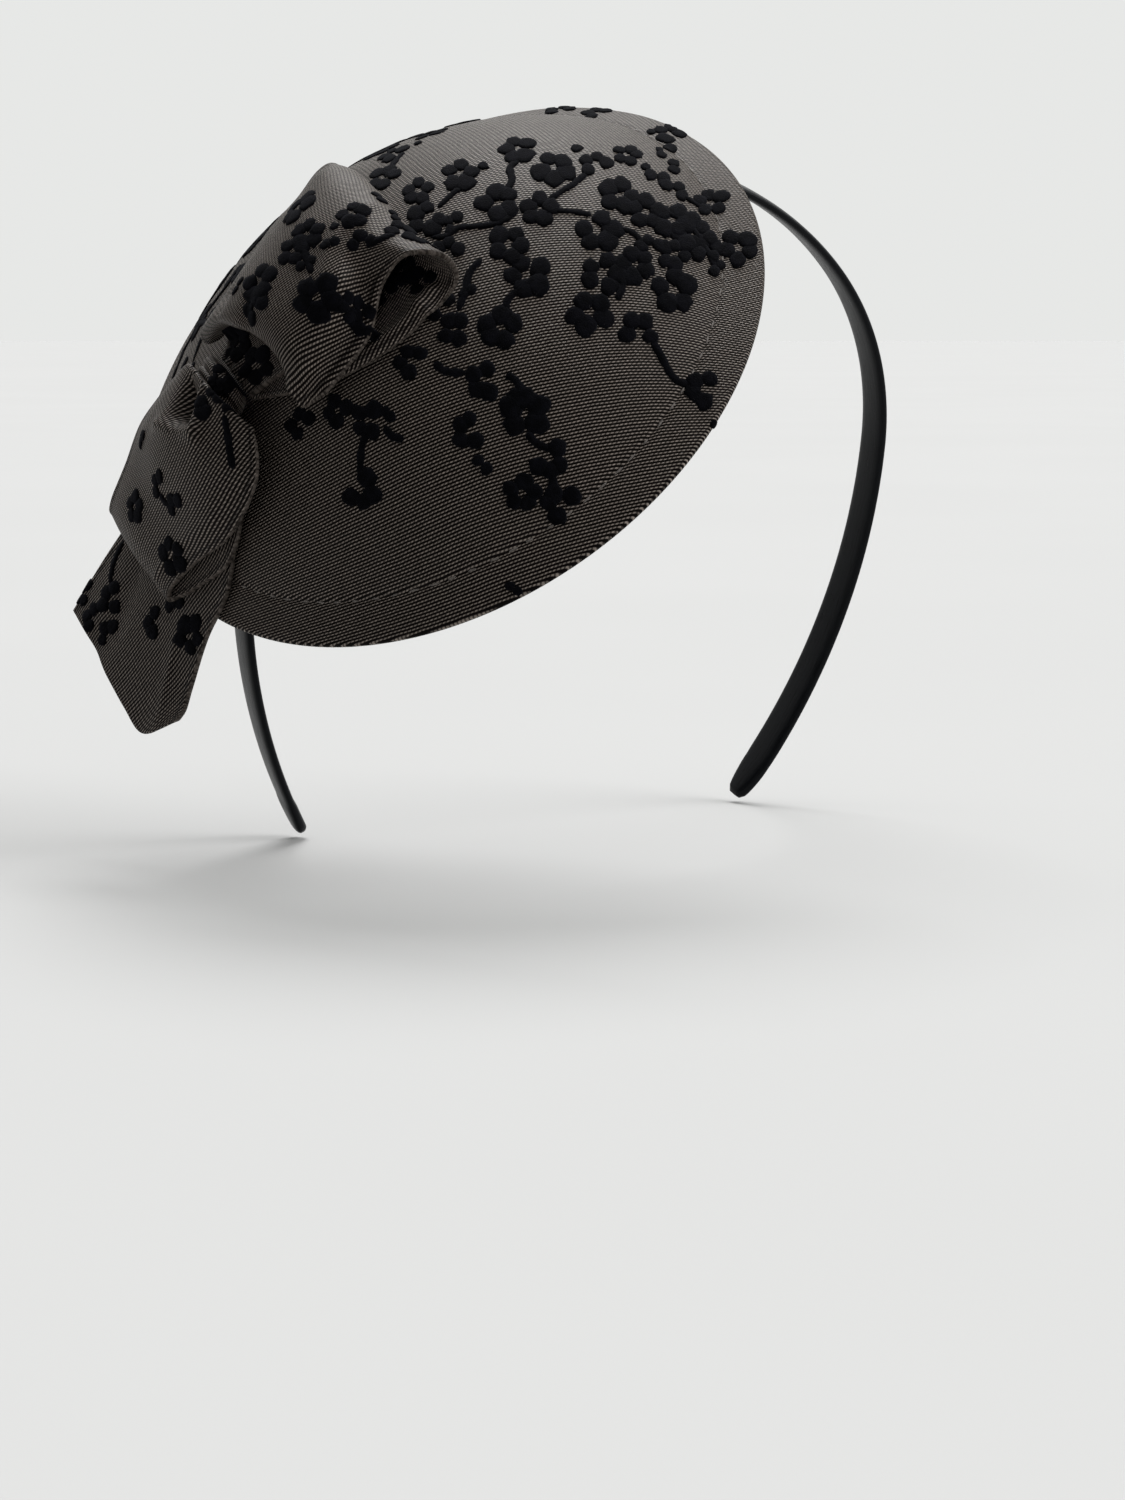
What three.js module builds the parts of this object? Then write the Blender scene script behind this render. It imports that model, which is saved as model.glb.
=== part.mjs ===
// Percher fascinator: a shallow fabric-covered dome with a soft bow, carried by a headband.
// Millimetres, +Z up. The wearer looks along -Y and the wearer's right is -X.
// The origin is the top of the wearer's head: the middle of the headband's inner face.

import * as THREE from 'three';

// Headband: half of the arch, from its top to a tip, as arcs of the middle line
const BAND_WIDTH = 10;
const BAND_THICKNESS = 2.4;
const BAND_SWEEP_BACK = 18;
const BAND_ARCS = [
  { radius: 86, degrees: 44, steps: 9 },
  { radius: 70, degrees: 40.5, steps: 8 },
  { radius: 155, degrees: 36.5, steps: 11 },
];
const BAND_TIP_LENGTH = 9;
const BAND_TIP_WIDTH = 4.5;
const BAND_CORNER = 1.0;

// Dome and rim, in the hat's own frame: its axis is +Z and its rim's edge lies in the plane z = 0
const RIM_RADIUS = 78;
const STITCH_RADIUS = 70;
const STITCH_HEIGHT = 5.7;
const CROWN_HEIGHT = 37;
const SHELL_WALL = 2.2;
const GROOVE_DEPTH = 0.35;
const GROOVE_WIDTH = 1.6;
const SHELL_SIDES = 60;
const DOME_STEPS = 9;

// Where the hat sits on the band: its axis leans to the wearer's right and a little forward
const HAT_CENTRE = new THREE.Vector3(-37.95, 14.95, -43.8);
const HAT_TILT = 50;
const HAT_HEADING = 210.7;

// The bow runs straight out from the hat's axis, this far round from the steepest way down
const BOW_TURN = -39;
const CLOTH = 1.4;
const KNOT_FROM = 39.6;
const KNOT_TO = 46.6;
const SEAT_GAP = 0.9;

// Bow cloth: a row for each section of a strip. x is the distance out from the hat's axis at the
// back edge, the middle and the front edge; y is the place of the back and front edges; lift is
// the height over the dome at seven places from the back edge to the front edge.
const UPPER_ROOT = KNOT_FROM - SEAT_GAP;
const UPPER_LOOP = [
  { x: [UPPER_ROOT, UPPER_ROOT, UPPER_ROOT], y: [-8, 8], lift: [2.0, 1.6, 2.4, 1.6, 2.4, 1.6, 2.0] },
  { x: [31, 31, 31], y: [-15, 16], lift: [1.3, 1.2, 1.3, 1.2, 1.3, 1.2, 1.2] },
  { x: [18, 18, 18], y: [-22, 25], lift: [1.6, 1.3, 1.2, 1.2, 1.2, 1.2, 1.2] },
  { x: [4, 4, 4], y: [-25, 27.5], lift: [3.4, 2.2, 1.5, 1.2, 1.2, 1.2, 1.2] },
  { x: [-2.5, -4, -6], y: [-25.5, 26], lift: [5.0, 3.6, 2.4, 1.7, 1.4, 1.4, 1.4] },
  { x: [-6, -8.2, -11], y: [-25.5, 25], lift: [6.4, 5.2, 4.2, 3.6, 3.2, 3.2, 3.4] },
  { x: [-6.8, -9.2, -12], y: [-25.5, 24.5], lift: [8.4, 7.8, 7.2, 6.9, 6.7, 6.6, 6.6] },
  { x: [-5.8, -8.2, -11], y: [-25.3, 24], lift: [9.9, 10.4, 10.6, 10.6, 10.4, 10.2, 10.2] },
  { x: [-2.5, -3, -5.5], y: [-25, 23], lift: [9.8, 12.6, 13.8, 13.9, 13.8, 13.8, 14.0] },
  { x: [4, 4, 2], y: [-24.5, 21.5], lift: [7.8, 11.4, 14.2, 15.2, 15.1, 13.4, 9.4] },
  { x: [13, 12, 10.5], y: [-24, 25], lift: [6.3, 10.6, 14.1, 15.9, 15.8, 13.0, 6.6] },
  { x: [23, 20, 18.5], y: [-23.2, 26], lift: [5.0, 9.4, 13.6, 16.1, 16.0, 12.8, 5.4] },
  { x: [33, 27, 25.5], y: [-21.5, 26], lift: [5.0, 9.4, 13.4, 15.9, 15.7, 12.0, 5.0] },
  { x: [39, 32.2, 30.4], y: [-19, 24.5], lift: [5.8, 9.8, 13.0, 14.4, 13.8, 10.8, 5.2] },
  { x: [38.4, 32.6, 31.8], y: [-15.5, 18], lift: [5.2, 7.2, 8.6, 8.8, 8.4, 7.6, 5.4] },
  { x: [UPPER_ROOT, UPPER_ROOT, UPPER_ROOT], y: [-8, 8], lift: [5.0, 6.0, 7.2, 6.2, 7.2, 6.0, 5.0] },
];
const LOWER_ROOT = KNOT_TO + SEAT_GAP;
const LOWER_LOOP = [
  { x: [LOWER_ROOT, LOWER_ROOT, LOWER_ROOT], y: [-8, 8], lift: [4.2, 3.8, 4.4, 3.8, 4.4, 3.8, 4.2] },
  { x: [54, 54, 51], y: [-16, 20], lift: [4.0, 3.8, 4.0, 3.8, 4.0, 3.8, 3.8] },
  { x: [65, 65, 62], y: [-21, 26.5], lift: [4.4, 4.0, 3.8, 3.8, 3.8, 3.8, 3.8] },
  { x: [73.5, 74, 71], y: [-22.3, 22.5], lift: [6.0, 5.2, 4.6, 4.2, 4.0, 3.9, 3.9] },
  { x: [78.4, 78.8, 75.2], y: [-22.5, 17.5], lift: [7.0, 6.4, 5.8, 5.3, 4.9, 4.6, 4.4] },
  { x: [80, 80.6, 76.2], y: [-22.5, 16.8], lift: [8.8, 8.3, 7.7, 7.1, 6.5, 6.0, 5.6] },
  { x: [78.2, 78.6, 74.8], y: [-22.5, 16.8], lift: [10.2, 10.3, 9.9, 9.3, 8.5, 7.7, 6.9] },
  { x: [70, 70, 66.5], y: [-22, 24], lift: [10.6, 11.6, 11.9, 11.6, 10.7, 9.3, 7.0] },
  { x: [62, 62, 57.5], y: [-21.3, 28], lift: [10.2, 12.2, 13.2, 13.3, 12.3, 10.2, 6.8] },
  { x: [54.5, 55, 48.5], y: [-19, 26], lift: [8.2, 11.6, 13.0, 13.8, 13.2, 10.8, 6.8] },
  { x: [50, 50.2, 44.6], y: [-14, 20.5], lift: [6.8, 8.6, 8.4, 8.0, 9.6, 9.2, 6.8] },
  { x: [LOWER_ROOT, LOWER_ROOT, LOWER_ROOT], y: [-8, 9], lift: [6.8, 7.2, 6.6, 6.4, 7.2, 7.2, 6.6] },
];
const TAIL = [
  { x: [LOWER_ROOT, LOWER_ROOT, LOWER_ROOT], y: [-8, 8], lift: [1.6, 1.4, 1.8, 1.4, 1.8, 1.4, 1.6] },
  { x: [56, 56, 56], y: [-17, 19], lift: [1.5, 1.4, 1.5, 1.4, 1.5, 1.4, 1.4] },
  { x: [67, 67, 67], y: [-21, 24.5], lift: [1.6, 1.4, 1.4, 1.4, 1.4, 1.4, 1.4] },
  { x: [78, 78, 78], y: [-21.5, 25], lift: [2.8, 2.3, 1.9, 1.6, 1.5, 1.5, 1.5] },
  { x: [88, 88, 88], y: [-20.8, 27.5], lift: [5.4, 4.8, 4.1, 3.4, 2.7, 2.2, 1.9] },
  { x: [96, 96.8, 92], y: [-20.3, 29], lift: [7.6, 6.9, 6.0, 5.0, 4.0, 3.0, 2.2] },
  { x: [102, 103.4, 96], y: [-19.5, 28.6], lift: [9.2, 8.3, 7.2, 6.0, 4.8, 3.5, 2.4] },
];

// Knot: a row for each section along the bow, with its half width and its height over the dome
const KNOT_SECTIONS = [
  { x: KNOT_FROM, half: 7.6, top: 7.6 },
  { x: KNOT_FROM + 1, half: 9.2, top: 9.2 },
  { x: 42, half: 9.7, top: 9.8 },
  { x: 42.8, half: 9.2, top: 9.3 },
  { x: 43.8, half: 9.9, top: 9.9 },
  { x: KNOT_TO - 1, half: 9.2, top: 9.1 },
  { x: KNOT_TO, half: 7.6, top: 7.6 },
];
const KNOT_UNDERSIDE = 0.7;
const KNOT_SIDES = 20;

const domeRise = CROWN_HEIGHT - STITCH_HEIGHT;
const domeRadius = (STITCH_RADIUS ** 2 + domeRise ** 2) / (2 * domeRise);
const domeCentre = CROWN_HEIGHT - domeRadius;
const domeSweep = Math.asin(STITCH_RADIUS / domeRadius);
const rimSlope = STITCH_HEIGHT / (RIM_RADIUS - STITCH_RADIUS);

const finishes = {
  twill: () => new THREE.MeshStandardMaterial({ color: 0x4a4541, roughness: 0.55, metalness: 0 }),
  satin: () => new THREE.MeshStandardMaterial({ color: 0x15161b, roughness: 0.35, metalness: 0 }),
};

// Height of the hat's outer face over the rim's plane, with the rim's slope carried on past its edge
function hatHeight(x, y) {
  const out = Math.hypot(x, y);
  if (out < STITCH_RADIUS) return domeCentre + Math.sqrt(domeRadius ** 2 - out ** 2);
  return (RIM_RADIUS - out) * rimSlope;
}

// A closed body from indexed triangles
function solid(points, triangles) {
  const geometry = new THREE.BufferGeometry();
  geometry.setAttribute('position', new THREE.Float32BufferAttribute(points.flatMap((p) => [p.x, p.y, p.z]), 3));
  geometry.setIndex(triangles);
  geometry.computeVertexNormals();
  return geometry;
}

function mesh(name, geometry, finish) {
  const part = new THREE.Mesh(geometry, finishes[finish]());
  part.name = name;
  return part;
}

// Skins a stack of closed rings, each listed counter-clockwise as seen against the way the stack runs
function loft(rings) {
  const sides = rings[0].length;
  const points = rings.flat();
  const triangles = [];
  for (let i = 0; i + 1 < rings.length; i += 1) {
    for (let k = 0; k < sides; k += 1) {
      const a = i * sides + k;
      const b = i * sides + ((k + 1) % sides);
      triangles.push(a, b, b + sides, a, b + sides, a + sides);
    }
  }
  const last = (rings.length - 1) * sides;
  for (let k = 1; k + 1 < sides; k += 1) {
    triangles.push(0, k + 1, k, last, last + k, last + k + 1);
  }
  return solid(points, triangles);
}

// The wall of a cloth strip: both faces of the middle surface, joined along all four edges
function clothWall(surface, along, across) {
  const grid = [];
  for (let i = 0; i <= along; i += 1) {
    grid.push(Array.from({ length: across + 1 }, (_, k) => surface(i / along, k / across)));
  }
  const columns = across + 1;
  const faces = { top: [], bottom: [] };
  for (let i = 0; i <= along; i += 1) {
    for (let k = 0; k <= across; k += 1) {
      const alongWay = grid[Math.min(i + 1, along)][k].clone().sub(grid[Math.max(i - 1, 0)][k]);
      const acrossWay = grid[i][Math.min(k + 1, across)].clone().sub(grid[i][Math.max(k - 1, 0)]);
      const normal = alongWay.cross(acrossWay).normalize();
      faces.top.push(grid[i][k].clone().addScaledVector(normal, CLOTH / 2));
      faces.bottom.push(grid[i][k].clone().addScaledVector(normal, -CLOTH / 2));
    }
  }
  const under = faces.top.length;
  const at = (i, k) => i * columns + k;
  const triangles = [];
  const quad = (a, b, c, d) => triangles.push(a, b, c, a, c, d);
  for (let i = 0; i < along; i += 1) {
    for (let k = 0; k < across; k += 1) {
      quad(at(i, k), at(i + 1, k), at(i + 1, k + 1), at(i, k + 1));
      quad(under + at(i, k), under + at(i, k + 1), under + at(i + 1, k + 1), under + at(i + 1, k));
    }
    quad(at(i, 0), under + at(i, 0), under + at(i + 1, 0), at(i + 1, 0));
    quad(at(i, across), at(i + 1, across), under + at(i + 1, across), under + at(i, across));
  }
  for (let k = 0; k < across; k += 1) {
    quad(at(0, k), at(0, k + 1), under + at(0, k + 1), under + at(0, k));
    quad(at(along, k), under + at(along, k), under + at(along, k + 1), at(along, k + 1));
  }
  return solid([...faces.top, ...faces.bottom], triangles);
}

// The middle surface of a strip, smooth through its sections
function stripSurface(sections) {
  const places = sections[0].lift.length;
  const rails = Array.from({ length: places }, (_, k) => {
    const side = (2 * k) / (places - 1) - 1;
    const points = sections.map(({ x: [backX, midX, frontX], y: [backY, frontY], lift }) => {
      const edgeX = side < 0 ? backX : frontX;
      const x = midX + (edgeX - midX) * Math.abs(side) ** 3;
      const y = backY + ((frontY - backY) * (side + 1)) / 2;
      return new THREE.Vector3(x, y, hatHeight(x, y) + lift[k]);
    });
    return new THREE.CatmullRomCurve3(points);
  });
  return (u, v) => new THREE.CatmullRomCurve3(rails.map((rail) => rail.getPoint(u))).getPoint(v);
}

function hatShell() {
  const innerRadius = domeRadius - SHELL_WALL;
  const slopeAngle = Math.atan(rimSlope);
  const edgeRound = SHELL_WALL / 2;
  const dome = (radius, angle) => new THREE.Vector2(radius * Math.sin(angle), domeCentre + radius * Math.cos(angle));
  const onRim = (out, depth) => new THREE.Vector2(
    out - depth * Math.sin(slopeAngle),
    (RIM_RADIUS - out) * rimSlope - depth * Math.cos(slopeAngle),
  );
  const groove = GROOVE_WIDTH / 2 / domeRadius;
  const profile = [];
  for (let i = 0; i < DOME_STEPS; i += 1) profile.push(dome(domeRadius, (domeSweep - groove) * (i / (DOME_STEPS - 1))));
  profile.push(dome(domeRadius - GROOVE_DEPTH, domeSweep));
  profile.push(onRim(STITCH_RADIUS + GROOVE_WIDTH, 0));
  const edgeMiddle = onRim(RIM_RADIUS - edgeRound, edgeRound);
  for (let i = 0; i <= 4; i += 1) {
    const angle = Math.PI / 2 - slopeAngle - (Math.PI * i) / 4;
    profile.push(new THREE.Vector2(
      edgeMiddle.x + edgeRound * Math.cos(angle),
      edgeMiddle.y + edgeRound * Math.sin(angle),
    ));
  }
  for (let i = DOME_STEPS - 1; i >= 0; i -= 1) profile.push(dome(innerRadius, domeSweep * (i / (DOME_STEPS - 1))));
  profile[0].x = 0;
  profile[profile.length - 1].x = 0;
  const geometry = new THREE.LatheGeometry(profile.reverse(), SHELL_SIDES);
  geometry.rotateX(Math.PI / 2);
  return mesh('hat_shell', geometry, 'twill');
}

function headband() {
  const stations = [{ across: 0, drop: 0, angle: 0, run: 0 }];
  for (const { radius, degrees, steps } of BAND_ARCS) {
    const start = stations[stations.length - 1];
    const sweep = THREE.MathUtils.degToRad(degrees);
    for (let i = 1; i <= steps; i += 1) {
      const angle = start.angle + (sweep * i) / steps;
      stations.push({
        across: start.across + radius * (Math.sin(angle) - Math.sin(start.angle)),
        drop: start.drop + radius * (Math.cos(start.angle) - Math.cos(angle)),
        angle,
        run: start.run + (radius * sweep * i) / steps,
      });
    }
  }
  const length = stations[stations.length - 1].run;
  const halfWidth = (run) => {
    const tip = Math.min(1, (length - run) / BAND_TIP_LENGTH);
    return (BAND_TIP_WIDTH + (BAND_WIDTH - BAND_TIP_WIDTH) * Math.sqrt(tip * (2 - tip))) / 2;
  };
  const ring = ({ across, drop, angle, run }, side) => {
    const half = halfWidth(run);
    const deep = BAND_THICKNESS / 2;
    const section = [
      [half - BAND_CORNER, deep], [-half + BAND_CORNER, deep], [-half, deep - BAND_CORNER],
      [-half, -deep + BAND_CORNER], [-half + BAND_CORNER, -deep], [half - BAND_CORNER, -deep],
      [half, -deep + BAND_CORNER], [half, deep - BAND_CORNER],
    ];
    return section.map(([sideways, out]) => new THREE.Vector3(
      side * (across + out * Math.sin(angle)),
      sideways,
      -drop + out * Math.cos(angle),
    ));
  };
  const right = stations.slice(1).reverse().map((station) => ring(station, -1));
  const left = stations.map((station) => ring(station, 1));
  const band = mesh('headband', loft([...right, ...left]), 'satin');
  band.position.z = BAND_THICKNESS / 2;
  band.rotation.x = THREE.MathUtils.degToRad(BAND_SWEEP_BACK);
  return band;
}

function bowKnot() {
  const rings = KNOT_SECTIONS.map(({ x, half, top }) => Array.from({ length: KNOT_SIDES }, (_, k) => {
    const angle = (2 * Math.PI * k) / KNOT_SIDES;
    const y = half * Math.cos(angle);
    const lift = (top + KNOT_UNDERSIDE) / 2 + ((top - KNOT_UNDERSIDE) / 2) * Math.sin(angle);
    return new THREE.Vector3(x, y, hatHeight(x, y) + lift);
  }));
  return mesh('bow_knot', loft(rings), 'twill');
}

const hat = new THREE.Group();
hat.position.copy(HAT_CENTRE);
hat.rotation.set(0, THREE.MathUtils.degToRad(HAT_TILT), THREE.MathUtils.degToRad(HAT_HEADING), 'ZYX');
hat.add(hatShell());

const bow = new THREE.Group();
bow.rotation.z = THREE.MathUtils.degToRad(BOW_TURN);
bow.add(
  mesh('bow_upper_loop', clothWall(stripSurface(UPPER_LOOP), 44, 12), 'twill'),
  mesh('bow_lower_loop', clothWall(stripSurface(LOWER_LOOP), 36, 12), 'twill'),
  mesh('bow_tail', clothWall(stripSurface(TAIL), 16, 12), 'twill'),
  bowKnot(),
);
hat.add(bow);

const fascinator = new THREE.Group();
fascinator.add(headband(), hat);

export default fascinator;
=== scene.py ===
"""A percher fascinator: a twill dome with flocked blossoms, a soft side bow and a satin headband."""

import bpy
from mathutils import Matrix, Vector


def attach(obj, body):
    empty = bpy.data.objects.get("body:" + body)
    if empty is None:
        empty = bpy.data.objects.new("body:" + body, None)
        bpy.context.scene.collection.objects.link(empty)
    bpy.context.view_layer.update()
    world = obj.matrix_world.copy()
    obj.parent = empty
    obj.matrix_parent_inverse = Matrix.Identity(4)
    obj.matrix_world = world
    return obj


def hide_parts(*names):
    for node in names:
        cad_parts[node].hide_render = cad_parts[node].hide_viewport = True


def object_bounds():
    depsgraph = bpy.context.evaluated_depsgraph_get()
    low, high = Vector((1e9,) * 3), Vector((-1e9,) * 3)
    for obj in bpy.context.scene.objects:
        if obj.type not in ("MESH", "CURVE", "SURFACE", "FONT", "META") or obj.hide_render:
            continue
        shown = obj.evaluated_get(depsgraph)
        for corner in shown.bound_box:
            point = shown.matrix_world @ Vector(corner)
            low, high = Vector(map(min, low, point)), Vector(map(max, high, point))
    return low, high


bl_info = {
    "name": "Percher Fascinator",
    "version": (1, 0, 0),
    "blender": (4, 5, 0),
    "location": "View3D > Sidebar > Fascinator",
    "description": "Dresses a percher fascinator in twill, satin and flocked blossoms",
    "category": "Object",
}

import math
import random
from collections import namedtuple

import bmesh
import bpy
from bpy.props import FloatProperty, FloatVectorProperty, IntProperty, PointerProperty
from mathutils import Matrix, Vector, noise
from mathutils.bvhtree import BVHTree

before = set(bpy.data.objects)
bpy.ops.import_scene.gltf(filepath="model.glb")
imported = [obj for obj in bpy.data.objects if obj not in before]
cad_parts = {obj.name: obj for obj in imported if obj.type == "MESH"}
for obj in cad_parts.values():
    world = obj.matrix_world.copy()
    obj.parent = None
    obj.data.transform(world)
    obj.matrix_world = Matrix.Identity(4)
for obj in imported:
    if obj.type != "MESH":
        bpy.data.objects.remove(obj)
cad_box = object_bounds()

MM = 0.001
MERGE = 1e-6
PHOTO_WIDTH = 1125
PHOTO_HEIGHT = 1500
FILM = 36.0
BODY = "root"

# Headband: half of the arch, from its top to a tip, as arcs of the middle line in millimetres
Arc = namedtuple("Arc", "radius degrees")
BAND_ARCS = (
    Arc(86.0, 44.0),
    Arc(70.0, 40.5),
    Arc(155.0, 36.5),
)

# Bow cloth, in millimetres in the bow's frame: a row for each section of a strip. x is the distance
# out from the hat's axis at the back edge, the middle and the front edge, or at all seven places;
# y is the place of the back and front edges; lift is the height over the dome at seven places from
# back to front.
Section = namedtuple("Section", "x y lift")
UPPER_LOOP = (
    Section((38.7, 38.7, 38.7), (-8, 8), (2.0, 1.6, 2.4, 1.6, 2.4, 1.6, 2.0)),
    Section((31, 31, 31), (-15, 16), (1.3, 1.2, 1.3, 1.2, 1.3, 1.2, 1.2)),
    Section((18, 18, 18), (-22, 25), (1.6, 1.3, 1.2, 1.2, 1.2, 1.2, 1.2)),
    Section((4, 4, 4), (-25, 27.5), (3.4, 2.2, 1.5, 1.2, 1.2, 1.2, 1.2)),
    Section((-2.5, -4, -6), (-25.5, 26), (5.0, 3.6, 2.4, 1.7, 1.4, 1.4, 1.4)),
    Section((-6, -8.2, -11), (-25.5, 25), (6.4, 5.2, 4.2, 3.6, 3.2, 3.2, 3.4)),
    Section((-6.8, -9.2, -12), (-25.5, 24.5), (8.4, 7.8, 7.2, 6.9, 6.7, 6.6, 6.6)),
    Section((-5.8, -8.2, -11), (-25.3, 24), (9.9, 10.4, 10.6, 10.6, 10.4, 10.2, 10.2)),
    Section((-2.5, -3, -5.5), (-25, 23), (9.8, 12.6, 13.8, 13.9, 13.8, 13.8, 14.0)),
    Section((4, 4, 2), (-24.5, 20.2), (7.8, 11.4, 14.2, 15.2, 15.1, 14.2, 8.4)),
    Section((13, 12, 10.5), (-24, 25), (6.3, 10.6, 14.1, 15.9, 15.8, 14.4, 5.4)),
    Section((23, 20, 18.5), (-23.2, 26), (5.0, 9.4, 13.6, 16.1, 16.0, 14.4, 4.4)),
    Section((33, 27, 25.5), (-21.5, 26), (5.0, 9.4, 13.4, 15.9, 15.7, 13.8, 4.2)),
    Section((39, 36, 33.6, 31.8, 29.4, 28.6, 30.6), (-19, 24.5),
            (5.8, 9.8, 13.0, 14.4, 13.8, 12.0, 4.8)),
    Section((39.4, 35.8, 33.2, 31.2, 28.6, 27.8, 29.8), (-17.6, 22.4),
            (4.4, 7.6, 10.8, 11.9, 11.2, 8.2, 4.2)),
    Section((35, 25, 24), (-14, 17), (2.8, 3.6, 4.6, 5.0, 4.6, 3.8, 3.0)),
    Section((36, 32, 32), (-10, 11), (2.6, 3.0, 3.6, 3.2, 3.8, 3.2, 2.8)),
    Section((38.7, 38.7, 38.7), (-8, 8), (3.0, 3.4, 4.2, 3.6, 4.2, 3.4, 3.0)),
)
LOWER_LOOP = (
    Section((47.5, 47.5, 47.5), (-8, 8), (4.2, 3.8, 4.4, 3.8, 4.4, 3.8, 4.2)),
    Section((54, 54, 51), (-16, 20), (4.0, 3.8, 4.0, 3.8, 4.0, 3.8, 3.8)),
    Section((65, 65, 63), (-21, 24.5), (4.4, 4.0, 3.8, 3.8, 3.8, 3.8, 3.8)),
    Section((73.5, 74, 72.5), (-22.3, 18.5), (6.0, 5.2, 4.6, 4.2, 4.0, 3.9, 3.9)),
    Section((78.4, 78.8, 78), (-22.5, 14.2), (7.0, 6.4, 5.8, 5.3, 4.9, 4.6, 4.4)),
    Section((80, 80.6, 80), (-22.5, 13), (8.8, 8.3, 7.7, 7.1, 6.5, 6.0, 5.6)),
    Section((78.2, 78.6, 78.4), (-22.5, 13), (10.2, 10.3, 9.9, 9.3, 8.5, 7.7, 6.9)),
    Section((70, 70.5, 70), (-22, 17.5), (10.6, 11.6, 11.9, 11.6, 10.7, 9.3, 7.0)),
    Section((62, 62, 60), (-21.3, 25), (10.2, 12.2, 13.2, 13.3, 12.3, 10.2, 6.8)),
    Section((54.5, 55, 48.5), (-19, 26), (8.2, 11.6, 13.0, 13.8, 13.2, 10.8, 6.8)),
    Section((49.5, 48.5, 43.8), (-15.5, 22), (7.8, 11.0, 12.0, 12.2, 12.2, 10.4, 7.0)),
    Section((46.6, 44.6, 42.6), (-13, 18.5), (7.6, 10.6, 11.3, 11.4, 11.6, 10.2, 7.0)),
    Section((47.6, 46.8, 45.2), (-10, 13), (6.6, 8.6, 9.2, 9.0, 9.4, 8.4, 6.4)),
    Section((47.5, 47.5, 47.5), (-8, 9), (6.2, 6.6, 6.2, 6.0, 6.6, 6.6, 6.2)),
)
TAIL = (
    Section((47.5, 47.5, 47.5), (-8, 8), (1.6, 1.4, 1.8, 1.4, 1.8, 1.4, 1.6)),
    Section((56, 56, 56), (-17, 19), (1.5, 1.4, 1.5, 1.4, 1.5, 1.4, 1.4)),
    Section((67, 67, 67), (-21, 24.5), (1.6, 1.4, 1.4, 1.4, 1.4, 1.4, 1.4)),
    Section((78, 78, 78), (-21.5, 25), (2.8, 2.3, 1.9, 1.6, 1.5, 1.5, 1.5)),
    Section((88, 88, 88), (-20.8, 27.5), (5.4, 4.8, 4.1, 3.4, 2.7, 2.2, 1.9)),
    Section((96, 96.8, 92), (-20.3, 29), (7.6, 6.9, 6.0, 5.0, 4.0, 3.0, 2.2)),
    Section((101.6, 101.8, 102.4, 103.2, 103.8, 103.6, 94.5), (-19.5, 28.6),
            (9.2, 8.3, 7.2, 6.0, 4.8, 3.5, 2.4)),
)

# Knot: half width and height over the dome at places along the bow, and its underside's height, all in
# millimetres
KnotSection = namedtuple("KnotSection", "x half top")
KNOT_SECTIONS = (
    KnotSection(39.6, 7.6, 7.6),
    KnotSection(40.6, 9.2, 9.2),
    KnotSection(42.0, 9.7, 9.8),
    KnotSection(42.8, 9.2, 9.3),
    KnotSection(43.8, 9.9, 9.9),
    KnotSection(45.6, 9.2, 9.1),
    KnotSection(46.6, 7.6, 7.6),
)
KNOT_UNDERSIDE = 0.7

# Motifs: x and y are the pixel of the photo where the middle shows, or millimetres within a sprig; the
# width is in millimetres, turn is the first petal's way in degrees, petals how many of five are there
Blossom = namedtuple("Blossom", "x y width turn petals")

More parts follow.
